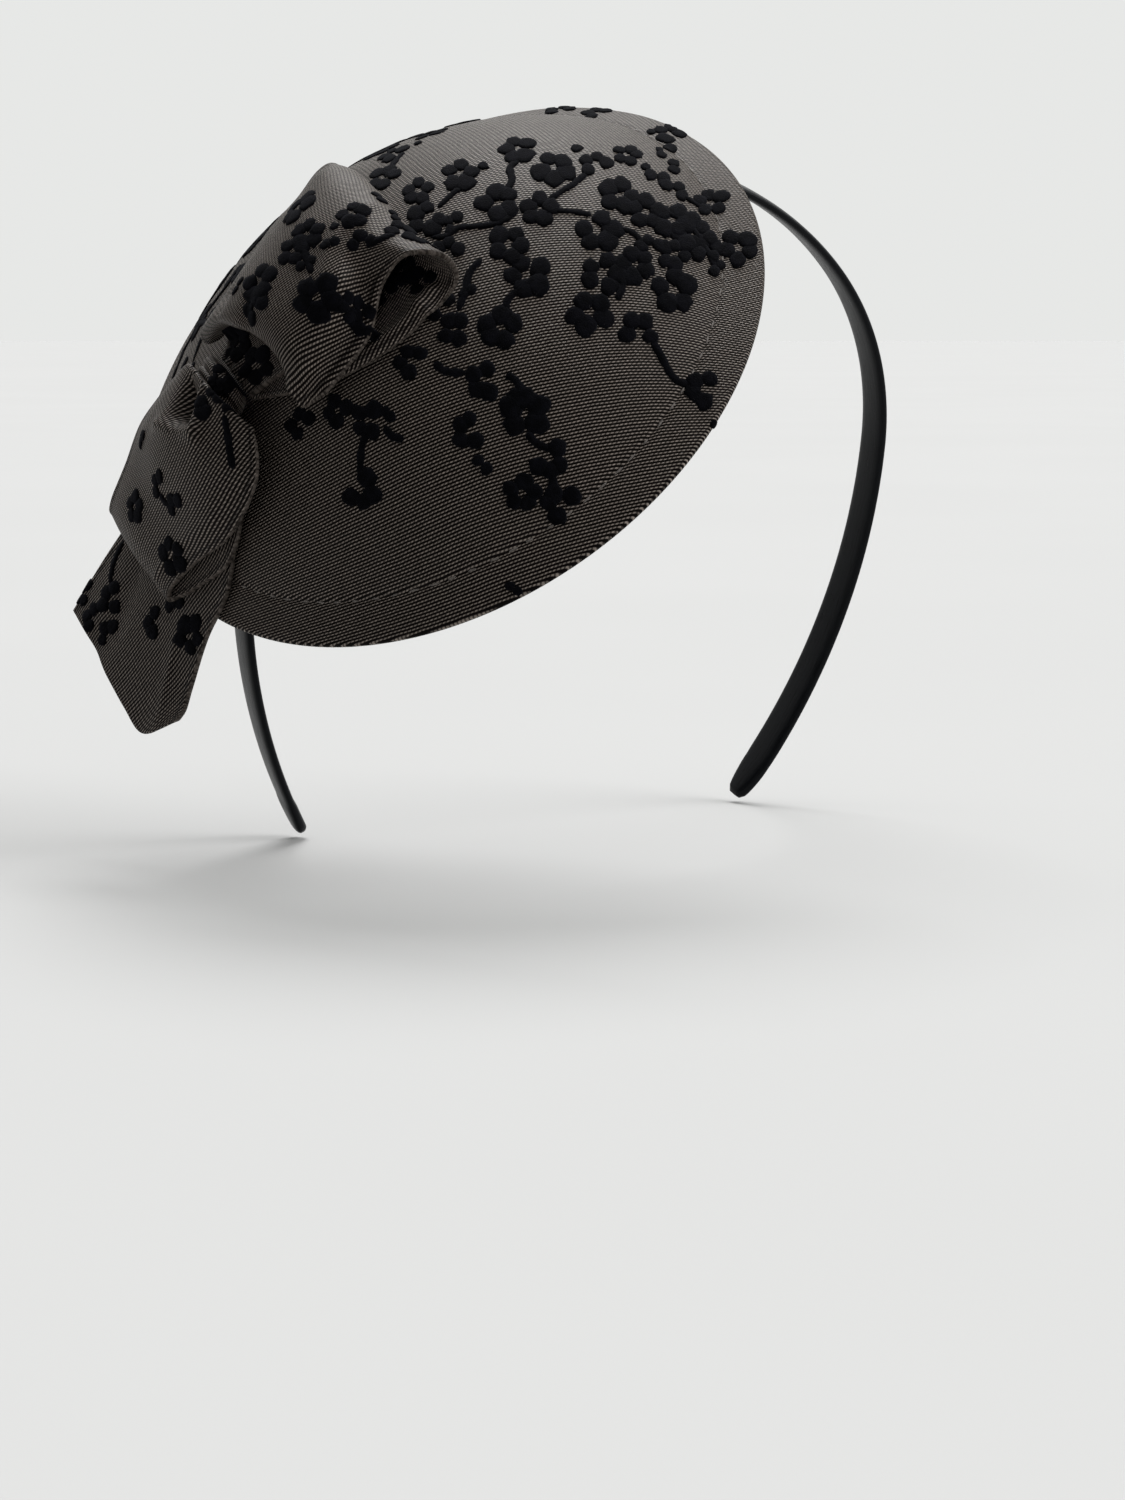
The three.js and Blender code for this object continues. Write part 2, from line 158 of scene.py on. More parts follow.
HAT_BLOSSOMS = (
    Blossom(393, 154, 8.5, 20, 4),
    Blossom(413, 146, 5.0, 20, 1),
    Blossom(383, 177, 9.0, 60, 5),
    Blossom(418, 191, 8.0, 10, 5),
    Blossom(426, 219, 9.5, 70, 5),
    Blossom(460, 174, 10.0, 80, 5),
    Blossom(476, 167, 6.0, 0, 1),
    Blossom(518, 149, 10.0, 30, 5),
    Blossom(499, 203, 10.5, 40, 5),
    Blossom(539, 208, 9.5, 15, 5),
    Blossom(455, 224, 6.5, 80, 3),
    Blossom(448, 251, 7.5, 10, 3),
    Blossom(508, 244, 10.5, 60, 5),
    Blossom(528, 276, 11.0, 35, 5),
    Blossom(554, 168, 10.5, 50, 5),
    Blossom(568, 149, 6.5, 0, 1),
    Blossom(595, 164, 8.5, 20, 4),
    Blossom(619, 194, 10.5, 75, 5),
    Blossom(628, 155, 8.0, 10, 5),
    Blossom(643, 162, 5.5, 300, 1),
    Blossom(655, 152, 6.0, 340, 2),
    Blossom(644, 131, 5.5, 0, 1),
    Blossom(670, 133, 9.0, 10, 4),
    Blossom(662, 145, 8.0, 340, 2),
    Blossom(667, 165, 7.0, 340, 2),
    Blossom(656, 181, 7.5, 340, 3),
    Blossom(674, 192, 7.0, 0, 3),
    Blossom(710, 203, 8.5, 45, 5),
    Blossom(646, 211, 10.0, 20, 5),
    Blossom(673, 221, 10.5, 0, 5),
    Blossom(691, 232, 10.5, 30, 5),
    Blossom(706, 247, 9.0, 10, 4),
    Blossom(712, 264, 6.5, 300, 3),
    Blossom(738, 248, 10.0, 50, 5),
    Blossom(599, 231, 11.0, 20, 5),
    Blossom(651, 249, 7.5, 30, 4),
    Blossom(673, 255, 8.5, 75, 5),
    Blossom(603, 273, 10.5, 0, 5),
    Blossom(635, 265, 10.0, 40, 5),
    Blossom(674, 290, 11.5, 20, 5),
    Blossom(590, 313, 11.5, 50, 5),
    Blossom(638, 331, 9.5, 340, 4),
    Blossom(703, 389, 9.0, 60, 4),
    Blossom(710, 428, 5.0, 45, 1),
    Blossom(501, 328, 10.5, 10, 5),
    Blossom(455, 329, 8.5, 60, 4),
    Blossom(440, 305, 8.0, 20, 4),
    Blossom(471, 297, 6.0, 80, 2),
    Blossom(411, 361, 8.5, 30, 4),
    Blossom(484, 380, 9.5, 80, 4),
    Blossom(525, 412, 12.0, 25, 5),
    Blossom(469, 431, 9.0, 80, 4),
    Blossom(477, 469, 6.5, 0, 2),
    Blossom(550, 459, 9.5, 200, 4),
    Blossom(523, 493, 9.0, 10, 5),
    Blossom(561, 504, 9.0, 40, 4),
    Blossom(369, 420, 9.0, 70, 4),
    Blossom(362, 490, 9.5, 200, 4),
    Blossom(384, 420, 6.0, 20, 2),
    Blossom(338, 412, 8.0, 30, 4),
    Blossom(300, 424, 8.0, 30, 4),
    Blossom(511, 592, 5.0, 20, 2),
    Blossom(560, 110, 8.0, 0, 4),
    Blossom(597, 113, 8.0, 20, 4),
)

# Twigs seen in the photo, as the pixels that each one passes through
HAT_TWIGS = (
    ((404, 152), (394, 163), (386, 178)),
    ((518, 160), (510, 168), (512, 180), (506, 192)),
    ((460, 188), (450, 196), (438, 208)),
    ((430, 237), (446, 236), (458, 228), (480, 226), (500, 222), (516, 213)),
    ((548, 200), (562, 191), (572, 185), (588, 172)),
    ((552, 210), (575, 212), (592, 215)),
    ((636, 205), (665, 212), (688, 224), (704, 246), (719, 276)),
    ((682, 195), (696, 204), (708, 212)),
    ((620, 228), (633, 233), (641, 241), (647, 252)),
    ((624, 274), (622, 288), (617, 300)),
    ((482, 258), (470, 272), (465, 290), (458, 312)),
    ((652, 340), (660, 354), (675, 379), (692, 385)),
    ((520, 288), (508, 300), (504, 316)),
    ((434, 362), (445, 371), (466, 373)),
    ((506, 374), (517, 382), (523, 396)),
    ((527, 432), (536, 443), (550, 449)),
    ((553, 466), (553, 484), (552, 502)),
    ((369, 428), (362, 446), (360, 478)),
    ((384, 426), (392, 436), (404, 440)),
)

# One spray of the same pattern, laid again on the sides that the photo doesn't show, in millimetres
SPRAY_BLOSSOMS = (
    Blossom(0, 0, 10.5, 20, 5),
    Blossom(11, 5, 10.0, 50, 5),
    Blossom(-10, 9, 9.5, 70, 5),
    Blossom(3, 14, 9.0, 10, 4),
    Blossom(15, -7, 6.5, 330, 2),
    Blossom(-16, -3, 7.5, 120, 3),
    Blossom(-5, -12, 9.5, 40, 5),
)
SPRAY_TWIGS = (
    ((-16, -3), (-9, -3), (0, 0), (9, 2), (15, -6)),
    ((0, 0), (2, 7), (3, 13)),
    ((-9, -3), (-10, 4), (-10, 9)),
    ((0, 0), (-3, -6), (-5, -12)),
)
Spray = namedtuple("Spray", "x y turn")
HAT_SPRAYS = (
    Spray(-26, -54, 30),
    Spray(8, -57, 160),
    Spray(38, -42, 80),
    Spray(57, -20, 250),
)

UPPER_BLOSSOMS_AND_SHADE = (
    Blossom(298, 207, 10.5, 40, 5),
    Blossom(352, 213, 8.5, 20, 5),
    Blossom(340, 222, 5.5, 200, 1),
    Blossom(307, 233, 9.0, 10, 5),
    Blossom(293, 250, 8.5, 60, 5),
    Blossom(331, 249, 6.5, 70, 2),
    Blossom(363, 245, 7.5, 30, 3),
    Blossom(308, 268, 6.5, 80, 2),
    Blossom(318, 297, 11.5, 55, 5),
    Blossom(259, 283, 10.0, 80, 5),
    Blossom(254, 309, 8.0, 30, 4),
    Blossom(240, 286, 6.0, 100, 2),
    Blossom(374, 197, 6.5, 350, 2),
    Blossom(388, 214, 6.5, 330, 2),
    Blossom(402, 231, 8.5, 330, 4),
    Blossom(352, 308, 7.5, 30, 4),
    # The next three lie inside the bow's shaded mouth: flock that is there, laid also as painted shade
    Blossom(383, 292, 7.5, 10, 4),
    Blossom(402, 272, 8.0, 50, 5),
    Blossom(421, 281, 7.5, 20, 4),
    Blossom(427, 244, 6.5, 20, 3),
    # The last three lie under the lip and in the valley by the knot: flock that is there, laid also as
    # painted shade
    Blossom(366, 322, 7.5, 70, 4),
    Blossom(238, 345, 9.0, 20, 5),
    Blossom(256, 366, 9.5, 60, 5),
)
UPPER_TWIGS = (
    ((302, 240), (306, 256), (312, 274)),
    ((366, 246), (378, 240), (396, 234)),
    ((244, 292), (252, 298), (258, 306)),
)
LOWER_BLOSSOMS = (
    Blossom(135, 506, 8.5, 80, 5),
    Blossom(160, 487, 8.5, 90, 3),
    Blossom(176, 508, 7.5, 60, 3),
    Blossom(171, 556, 10.0, 50, 5),
    Blossom(211, 402, 9.0, 20, 4),
    Blossom(232, 412, 6.0, 60, 2),
    Blossom(143, 444, 6.5, 90, 2),
)
LOWER_TWIGS = (
    ((224, 414), (228, 438), (233, 470)),
    ((160, 494), (165, 502), (174, 508)),
)
TAIL_BLOSSOMS = (
    Blossom(111, 598, 9.0, 70, 4),
    Blossom(94, 618, 8.5, 85, 3),
    Blossom(109, 635, 7.5, 60, 3),
    Blossom(156, 621, 8.5, 100, 3),
    Blossom(175, 609, 7.5, 20, 3),
    Blossom(190, 635, 10.0, 60, 5),
    Blossom(85, 593, 7.0, 60, 4),
)
TAIL_TWIGS = (
    ((124, 540), (114, 562), (110, 584)),
)
# Flock on the knot: partly blossoms that are there, partly painted shade in the valley between the loops
KNOT_BLOSSOMS_AND_SHADE = (
    Blossom(222, 376, 8.0, 40, 5),
    Blossom(236, 386, 7.0, 10, 4),
)

# Folds pressed into a strip: the line that each follows as shares of the strip's length and width, its
# height out of the loop and its width, in millimetres; a crease has a sharp top
Fold = namedtuple("Fold", "path height width crease")
UPPER_FOLDS = (
    Fold(((0.57, 0.86), (0.62, 0.885), (0.66, 0.90), (0.72, 0.92), (0.77, 0.94)), 2.2, 1.6, True),
    Fold(((0.54, 0.945), (0.62, 0.955), (0.68, 0.96), (0.74, 0.97)), -1.8, 1.4, False),
    Fold(((0.45, 0.60), (0.52, 0.72), (0.58, 0.80)), 1.0, 2.6, True),
    Fold(((0.212, 0.78), (0.205, 1.0)), -1.4, 1.6, True),
    Fold(((0.12, 0.96), (0.17, 0.955), (0.235, 0.93)), -1.8, 1.9, False),
    Fold(((0.70, 0.20), (0.74, 0.30)), -1.2, 3.0, False),
    Fold(((0.68, 0.52), (0.74, 0.60)), -1.0, 2.6, False),
)
LOWER_FOLDS = (
    Fold(((0.79, 0.40), (0.76, 0.43), (0.73, 0.47)), -5.6, 3.8, False),
    Fold(((0.82, 0.50), (0.78, 0.53), (0.746, 0.60), (0.721, 0.65)), 1.8, 1.2, True),
    Fold(((0.66, 0.34), (0.68, 0.48), (0.715, 0.62)), 1.8, 1.6, True),
    Fold(((0.44, 0.84), (0.52, 0.86), (0.62, 0.90)), 0.8, 1.8, True),
)
TAIL_FOLDS = (
    Fold(((0.60, 0.80), (0.80, 0.86), (1.0, 0.90)), 0.7, 2.2, True),
    Fold(((0.55, 0.30), (0.80, 0.34), (1.0, 0.30)), -0.9, 5.0, False),
)

# Pleats at a strip's gathered ends: how many, and their depth and reach and the depth of the soft
# wrinkles all over, in millimetres
Pleats = namedtuple("Pleats", "count depth reach wrinkle both_ends")
LOOP_PLEATS = Pleats(5, 0.40, 9, 0.45, True)
TAIL_PLEATS = Pleats(5, 0.35, 9, 0.30, False)

# Strips of the bow: outward is 1 where the faces of the grid look out of the loop and -1 where they
# look in, steps is how many the grid has along the strip, rib_turn is the ribs' way in degrees and
# fineness how many ribs there are for one on the hat
Strip = namedtuple("Strip", "name sections folds outward steps rib_turn fineness pleats held rests_on seed")
BOW_STRIPS = (
    Strip("bow_upper_loop_cloth", UPPER_LOOP, UPPER_FOLDS, 1, 150, -15, 1.3, LOOP_PLEATS,
          "gathered", "hat_cover", 1),
    Strip("bow_lower_loop_cloth", LOWER_LOOP, LOWER_FOLDS, -1, 124, 4, 1.0, LOOP_PLEATS,
          "gathered", "bow_tail_cloth", 2),
    Strip("bow_tail_cloth", TAIL, TAIL_FOLDS, 1, 72, -14, 1.0, TAIL_PLEATS,
          "hung", "hat_cover", 3),
)
STEPS_ACROSS = 60

# Flocked pieces of the bow, with some blossoms laid also as painted shade in its hollows
Flock = namedtuple("Flock", "name carrier blossoms twigs seed")
BOW_FLOCK = (
    Flock("bow_upper_loop_blossoms", "bow_upper_loop_cloth", UPPER_BLOSSOMS_AND_SHADE, UPPER_TWIGS, 20),
    Flock("bow_lower_loop_blossoms", "bow_lower_loop_cloth", LOWER_BLOSSOMS, LOWER_TWIGS, 30),
    Flock("bow_tail_blossoms", "bow_tail_cloth", TAIL_BLOSSOMS, TAIL_TWIGS, 40),
    Flock("bow_knot_blossoms", "bow_knot_wrap", KNOT_BLOSSOMS_AND_SHADE, (), 50),
)
HAT_FLOCK = Flock("hat_blossoms", "hat_cover", HAT_BLOSSOMS, HAT_TWIGS, 10)


class HatSizes(bpy.types.PropertyGroup):
    rim_radius: FloatProperty(
        name="Rim radius", description="From the hat's axis to its edge", default=0.078, unit="LENGTH")
    stitch_radius: FloatProperty(
        name="Stitch radius", description="From the axis to the stitched line", default=0.070, unit="LENGTH")
    stitch_height: FloatProperty(
        name="Stitch height", description="Stitched line over the rim's edge", default=0.0057, unit="LENGTH")
    crown_height: FloatProperty(
        name="Crown height", description="Top of the dome over the rim's edge", default=0.037, unit="LENGTH")
    wall: FloatProperty(
        name="Wall", description="Thickness of the covered shell", default=0.0022, unit="LENGTH")
    groove_depth: FloatProperty(
        name="Groove depth", description="How far the stitches pull the cloth in", default=0.00028,
        unit="LENGTH")
    stitch_spacing: FloatProperty(
        name="Stitch spacing", description="From one stitch to the next", default=0.0046, unit="LENGTH")
    centre: FloatVectorProperty(
        name="Centre", description="Middle of the rim's plane", subtype="TRANSLATION",
        default=(-0.03795, 0.01495, -0.0438))
    tilt: FloatProperty(
        name="Tilt", description="Lean of the hat's axis", default=math.radians(50), subtype="ANGLE")
    heading: FloatProperty(
        name="Heading", description="Way that the axis leans", default=math.radians(210.7), subtype="ANGLE")


class BandSizes(bpy.types.PropertyGroup):
    width: FloatProperty(
        name="Width", description="Width of the headband", default=0.010, unit="LENGTH")
    thickness: FloatProperty(
        name="Thickness", description="Thickness of the headband", default=0.0024, unit="LENGTH")
    sweep_back: FloatProperty(
        name="Sweep back", description="Lean of the arch to the back", default=math.radians(18),
        subtype="ANGLE")
    tip_length: FloatProperty(
        name="Tip length", description="Length of the narrowing tip", default=0.014, unit="LENGTH")
    tip_width: FloatProperty(
        name="Tip width", description="Width of the tip's end", default=0.0036, unit="LENGTH")
    fold_height: FloatProperty(
        name="Fold height", description="Rise of the ribbon folded over each tip", default=0.00025,
        unit="LENGTH")


class BowSizes(bpy.types.PropertyGroup):
    turn: FloatProperty(
        name="Turn", description="Way that the bow lies round the axis", default=math.radians(-39),
        subtype="ANGLE")
    cloth: FloatProperty(
        name="Cloth", description="Thickness of the doubled strip", default=0.0010, unit="LENGTH")
    hem: FloatProperty(
        name="Hem", description="Thickness along the strip's turned edges", default=0.0013, unit="LENGTH")
    hem_width: FloatProperty(
        name="Hem width", description="Width of the thicker edge", default=0.0013, unit="LENGTH")


class BlossomSizes(bpy.types.PropertyGroup):
    flock_height: FloatProperty(
        name="Flock height", description="Rise of the pile over the cloth", default=0.00040, unit="LENGTH")
    twig_width: FloatProperty(
        name="Twig width", description="Width of a twig", default=0.0018, unit="LENGTH")
    hat_draw: FloatProperty(
        name="Draw on hat", description="Limit for drawing out motifs seen at a slant", default=1.6)
    bow_draw: FloatProperty(
        name="Draw on bow", description="Limit for drawing out motifs seen at a slant", default=1.12)
    seed: IntProperty(
        name="Seed", description="Start of the small irregularities", default=7)


class Finishes(bpy.types.PropertyGroup):
    twill_light: FloatVectorProperty(
        name="Twill light", description="Raised threads of the twill", subtype="COLOR",
        default=(0.292, 0.244, 0.210))
    twill_dark: FloatVectorProperty(
        name="Twill dark", description="Sunk threads of the twill", subtype="COLOR",
        default=(0.0022, 0.0012, 0.0009))
    flock: FloatVectorProperty(
        name="Flock", description="Pile of the blossoms", subtype="COLOR", default=(0.0012, 0.0012, 0.0018))
    satin: FloatVectorProperty(
        name="Satin", description="Ribbon on the headband", subtype="COLOR", default=(0.0045, 0.0050, 0.0060))
    thread: FloatVectorProperty(
        name="Thread", description="Sewing thread", subtype="COLOR", default=(0.050, 0.044, 0.040))
    inner: FloatVectorProperty(
        name="Inner cloth", description="Plain cloth inside the dome", subtype="COLOR",
        default=(0.013, 0.012, 0.012))
    floor: FloatVectorProperty(
        name="Floor", description="Floor under the fascinator", subtype="COLOR",
        default=(0.453, 0.453, 0.451))


class StageSettings(bpy.types.PropertyGroup):
    camera: FloatVectorProperty(
        name="Camera", description="Place of the camera", subtype="TRANSLATION",
        default=(-0.3220, -0.60325, -0.03676))
    pitch: FloatProperty(
        name="Pitch", description="Camera's tilt from straight down", default=math.radians(82.07),
        subtype="ANGLE")
    yaw: FloatProperty(
        name="Yaw", description="Camera's turn about the vertical", default=math.radians(-26.95),
        subtype="ANGLE")
    lens: FloatProperty(
        name="Lens", description="Focal length on a 36 mm frame", default=72.0)
    floor_gap: FloatProperty(
        name="Floor gap", description="Clearance under the headband's tips", default=0.001, unit="LENGTH")
    top_power: FloatProperty(
        name="Top light", description="Strength of the light over the crown", default=2.5)
    side_power: FloatProperty(
        name="Side light", description="Strength of the light at the right", default=1.7)
    left_power: FloatProperty(
        name="Left light", description="Strength of the light at the left", default=0.15)
    softness: FloatProperty(
        name="Softness", description="Breadth of each light", default=math.radians(32), subtype="ANGLE")
    ambient: FloatProperty(
        name="Ambient", description="Light from the surround's dark side", default=0.02)
    glow: FloatProperty(
        name="Glow", description="Light from the surround's bright side", default=1.15)
    wall: FloatProperty(
        name="Wall", description="Brightness of the surround behind the object", default=0.806)


class FascinatorSettings(bpy.types.PropertyGroup):
    hat: PointerProperty(type=HatSizes)
    band: PointerProperty(type=BandSizes)
    bow: PointerProperty(type=BowSizes)
    blossom: PointerProperty(type=BlossomSizes)
    finish: PointerProperty(type=Finishes)
    stage: PointerProperty(type=StageSettings)


def settings():
    """The sizes, finishes and stage that the panel shows."""
    return bpy.context.scene.fascinator


# Shapes


def smoothstep(low, high, value):
    """From 0 at low to 1 at high, with soft ends."""
    t = min(1.0, max(0.0, (value - low) / (high - low)))
    return t * t * (3 - 2 * t)


def spline(points, t):
    """A point on the centripetal curve through the points, t from 0 to 1."""
    last = len(points) - 1
    k = min(int(t * last), last - 1)
    w = t * last - k
    b, c = points[k], points[k + 1]
    a = points[k - 1] if k > 0 else 2 * b - c
    d = points[k + 2] if k + 2 <= last else 2 * c - b
    before, here, after = ((q - p).length ** 0.5 or MERGE for p, q in ((a, b), (b, c), (c, d)))
    start = ((b - a) / before - (c - a) / (before + here) + (c - b) / here) * here
    end = ((c - b) / here - (d - b) / (here + after) + (d - c) / after) * here
    return b + start * w + (3 * (c - b) - 2 * start - end) * w**2 + (2 * (b - c) + start + end) * w**3


def dome():
    """Radius and centre height of the sphere that the crown follows."""
    hat = settings().hat
    rise = hat.crown_height - hat.stitch_height
    radius = (hat.stitch_radius**2 + rise**2) / (2 * rise)
    return radius, hat.crown_height - radius


def hat_height(x, y):
    """Height of the hat's outer face over the rim's plane, with its slope carried on past the edge."""
    hat = settings().hat
    out = math.hypot(x, y)
    if out < hat.stitch_radius:
        radius, centre = dome()
        return centre + math.sqrt(radius**2 - out**2)
    return (hat.rim_radius - out) * hat.stitch_height / (hat.rim_radius - hat.stitch_radius)


def stitch_count():
    """How many stitches go round the hat."""
    hat = settings().hat
    return round(2 * math.pi * hat.stitch_radius / hat.stitch_spacing)


def hat_matrix():
    """From the hat's own frame, with its axis up, to its place as worn."""
    hat = settings().hat
    turn = Matrix.Rotation(hat.heading, 4, "Z") @ Matrix.Rotation(hat.tilt, 4, "Y")
    return Matrix.Translation(hat.centre) @ turn


def bow_matrix():
    """From the bow's frame, which is the hat's turned about its axis, to its place as worn."""
    return hat_matrix() @ Matrix.Rotation(settings().bow.turn, 4, "Z")


def add_piece(name, bm, *materials):
    """Makes a smooth-shaded object that rides on the body, and frees the bmesh."""
    for face in bm.faces:
        face.smooth = True
    mesh = bpy.data.meshes.new(name)
    bm.to_mesh(mesh)
    bm.free()
    for material in materials:
        mesh.materials.append(material)
    piece = bpy.data.objects.new(name, mesh)
    bpy.context.scene.collection.objects.link(piece)
    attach(piece, BODY)
    return piece


# Materials


class Shader:
    """A node material with short calls for the nodes that the cloths share."""

    def __init__(self, name, roughness, sheen=0.0, sheen_tint=(1, 1, 1), sheen_roughness=0.5, specular=0.5):
        self.material = bpy.data.materials.new(name)
        self.material.use_nodes = True
        self.tree = self.material.node_tree
        self.surface = self.tree.nodes["Principled BSDF"]
        self.surface.inputs["Roughness"].default_value = roughness
        self.surface.inputs["Sheen Weight"].default_value = sheen
        self.surface.inputs["Sheen Tint"].default_value = (*sheen_tint, 1)
        self.surface.inputs["Sheen Roughness"].default_value = sheen_roughness
        self.surface.inputs["Specular IOR Level"].default_value = specular

    def node(self, kind, **values):
        node = self.tree.nodes.new(kind)
        for key, value in values.items():
            setattr(node, key, value)
        return node

    def join(self, value, socket):
        if isinstance(value, bpy.types.NodeSocket):
            self.tree.links.new(value, socket)
        else:
            socket.default_value = value

    def math(self, operation, first, second=0.0, clamp=False):
        node = self.node("ShaderNodeMath", operation=operation, use_clamp=clamp)
        self.join(first, node.inputs[0])
        self.join(second, node.inputs[1])
        return node.outputs[0]

    def weave(self):
        """Along and across the ribs, in millimetres."""
        uv = self.node("ShaderNodeUVMap", uv_map="Weave")
        split = self.node("ShaderNodeSeparateXYZ")
        self.join(uv.outputs[0], split.inputs[0])
        return uv.outputs[0], split.outputs[0], split.outputs[1]

    def place(self):
        return self.node("ShaderNodeTexCoord").outputs["Object"]

    def noise(self, vector, scale, detail=2.0):
        node = self.node("ShaderNodeTexNoise")
        self.join(vector, node.inputs["Vector"])
        node.inputs["Scale"].default_value = scale
        node.inputs["Detail"].default_value = detail
        return node.outputs["Fac"]

    def wave(self, phase):
        """From 0 to 1 and back, once for each whole number of the phase."""
        turn = self.math("SINE", self.math("MULTIPLY", phase, 2 * math.pi))
        return self.math("ADD", self.math("MULTIPLY", turn, 0.5), 0.5)

    def spread(self, value, low, high, to_low=0.0, to_high=1.0):
        node = self.node("ShaderNodeMapRange", interpolation_type="SMOOTHSTEP")
        self.join(value, node.inputs["Value"])
        for key, amount in (("From Min", low), ("From Max", high), ("To Min", to_low), ("To Max", to_high)):
            node.inputs[key].default_value = amount
        return node.outputs["Result"]

    def mix(self, factor, first, second):
        node = self.node("ShaderNodeMix", data_type="RGBA")
        self.join(factor, node.inputs["Factor"])
        colours = [socket for socket in node.inputs if socket.type == "RGBA"]
        self.join(first, colours[0])
        self.join(second, colours[1])
        return next(socket for socket in node.outputs if socket.type == "RGBA")

    def colour(self, value):
        self.join(value, self.surface.inputs["Base Color"])

    def shades(self, factor, colour, lighter):
        """Colours the surface from a base to so many times lighter, by the factor."""
        base = Vector(colour)
        self.colour(self.mix(factor, (*base, 1), (*(base * lighter), 1)))

    def bump(self, height, distance, strength=1.0):
        node = self.node("ShaderNodeBump")
        node.inputs["Strength"].default_value = strength
        node.inputs["Distance"].default_value = distance
        self.join(height, node.inputs["Height"])
        self.join(node.outputs["Normal"], self.surface.inputs["Normal"])


# Weave, in millimetres: from row to row, and from thread to thread along a row; and how far the rows
# drift, in rows
RIB_PITCH = 0.80
DASH_PITCH = 0.97
DRIFT = 0.35

# Hem of the bow, in millimetres from its edge: the turned edge's reach, where a paler painted highlight lies,
# and the sewn line
TURNED_FROM = 0.2
TURNED_TO = 0.5
HEM_LINE = 1.5


def twill_material(name, hemmed=False):
    """Steep twill: rows of short pale floats on near-black ground, with a paler painted highlight along
    turned hems.
    """
    if name in bpy.data.materials:
        return bpy.data.materials[name]
    finish = settings().finish
    shader = Shader(name, roughness=0.5, sheen_tint=(0.95, 0.92, 0.88), sheen_roughness=0.25)
    uv, along, across = shader.weave()
    drift = shader.math("MULTIPLY", shader.noise(uv, scale=0.22), DRIFT)
    row = shader.math("ADD", shader.math("DIVIDE", across, RIB_PITCH), drift)
    thread = shader.math("SUBTRACT", shader.math("DIVIDE", along, DASH_PITCH), row)
    rib = shader.spread(shader.wave(row), low=0.40, high=0.95)
    dash = shader.spread(shader.wave(thread), low=0.0, high=0.75, to_low=0.22)
    float_thread = shader.math("MULTIPLY", rib, dash)
    tone = shader.spread(shader.noise(uv, scale=0.9, detail=3.0), low=0.3, high=0.75, to_low=0.6)
    if hemmed:
        edge = shader.node("ShaderNodeAttribute", attribute_name="from_edge").outputs["Fac"]
        from_line = shader.math("ABSOLUTE", shader.math("SUBTRACT", edge, HEM_LINE))
        # Along the turned edge the weave gives way to a painted highlight, broken up by noise
        edge_highlight = shader.spread(shader.noise(uv, scale=1.4), low=0.3, high=0.7, to_low=0.06, to_high=0.42)
        turned = shader.spread(edge, TURNED_FROM, TURNED_TO, to_low=1.0, to_high=0.0)
        woven = shader.math("MULTIPLY", float_thread, shader.spread(edge, TURNED_FROM, TURNED_TO))
        float_thread = shader.math("ADD", woven, shader.math("MULTIPLY", turned, edge_highlight))
        tone = shader.math("MULTIPLY", tone, shader.spread(from_line, low=0.1, high=0.4, to_low=0.25))
    lit = shader.math("MULTIPLY", float_thread, tone, clamp=True)
    shader.colour(shader.mix(lit, (*finish.twill_dark, 1), (*finish.twill_light, 1)))
    gloss = shader.spread(float_thread, low=0.0, high=1.0, to_low=0.04, to_high=0.40)
    shader.join(gloss, shader.surface.inputs["Specular IOR Level"])
    sheen = shader.spread(float_thread, low=0.0, high=1.0, to_low=0.03, to_high=0.22)
    shader.join(sheen, shader.surface.inputs["Sheen Weight"])
    shader.bump(float_thread, distance=0.00018, strength=0.7)
    return shader.material


def flock_material():
    """Short matt pile, a little worn in patches."""
    if "flock" in bpy.data.materials:
        return bpy.data.materials["flock"]
    shader = Shader(
        "flock", roughness=0.95, sheen=0.03, sheen_tint=(0.45, 0.48, 0.62), sheen_roughness=0.45,
        specular=0.04)
    place = shader.place()
    pile = shader.noise(place, scale=3200.0, detail=3.0)
    patch = shader.spread(shader.noise(place, scale=420.0), low=0.35, high=0.7)
    shader.shades(patch, settings().finish.flock, lighter=2.4)
    shader.bump(pile, distance=0.0003, strength=0.8)
    return shader.material


def satin_material():
    """Ribbon with a fine grain along it and close ribs across."""
    shader = Shader("satin_ribbon", roughness=0.35, sheen_tint=(0.7, 0.78, 0.85), specular=0.07)
    uv, along, _ = shader.weave()
    stretch = shader.node("ShaderNodeMapping")
    stretch.inputs["Scale"].default_value = (0.12, 2.6, 1.0)
    shader.join(uv, stretch.inputs["Vector"])
    grain = shader.noise(stretch.outputs[0], scale=1.6, detail=4.0)
    shader.shades(shader.spread(grain, low=0.3, high=0.75), settings().finish.satin, lighter=1.9)
    worn = shader.spread(grain, low=0.25, high=0.8, to_low=0.26, to_high=0.4)
    shader.join(worn, shader.surface.inputs["Roughness"])
    rib_pitch, rib_share = 0.35, 0.4
    ribs = shader.math("MULTIPLY", shader.wave(shader.math("DIVIDE", along, rib_pitch)), rib_share)
    shader.bump(shader.math("ADD", grain, ribs), distance=0.00006, strength=0.5)
    return shader.material


def inner_material():
    """Plain weave: two crossed sets of threads."""
    shader = Shader("inner_cloth", roughness=0.85, sheen=0.08, specular=0.2)
    _, along, across = shader.weave()
    pitch = 0.6
    warp = shader.wave(shader.math("DIVIDE", along, pitch))
    weft = shader.wave(shader.math("DIVIDE", across, pitch))
    crossing = shader.math("MULTIPLY", warp, weft)
    shader.shades(crossing, settings().finish.inner, lighter=1.8)
    shader.bump(crossing, distance=0.0001, strength=0.6)
    return shader.material


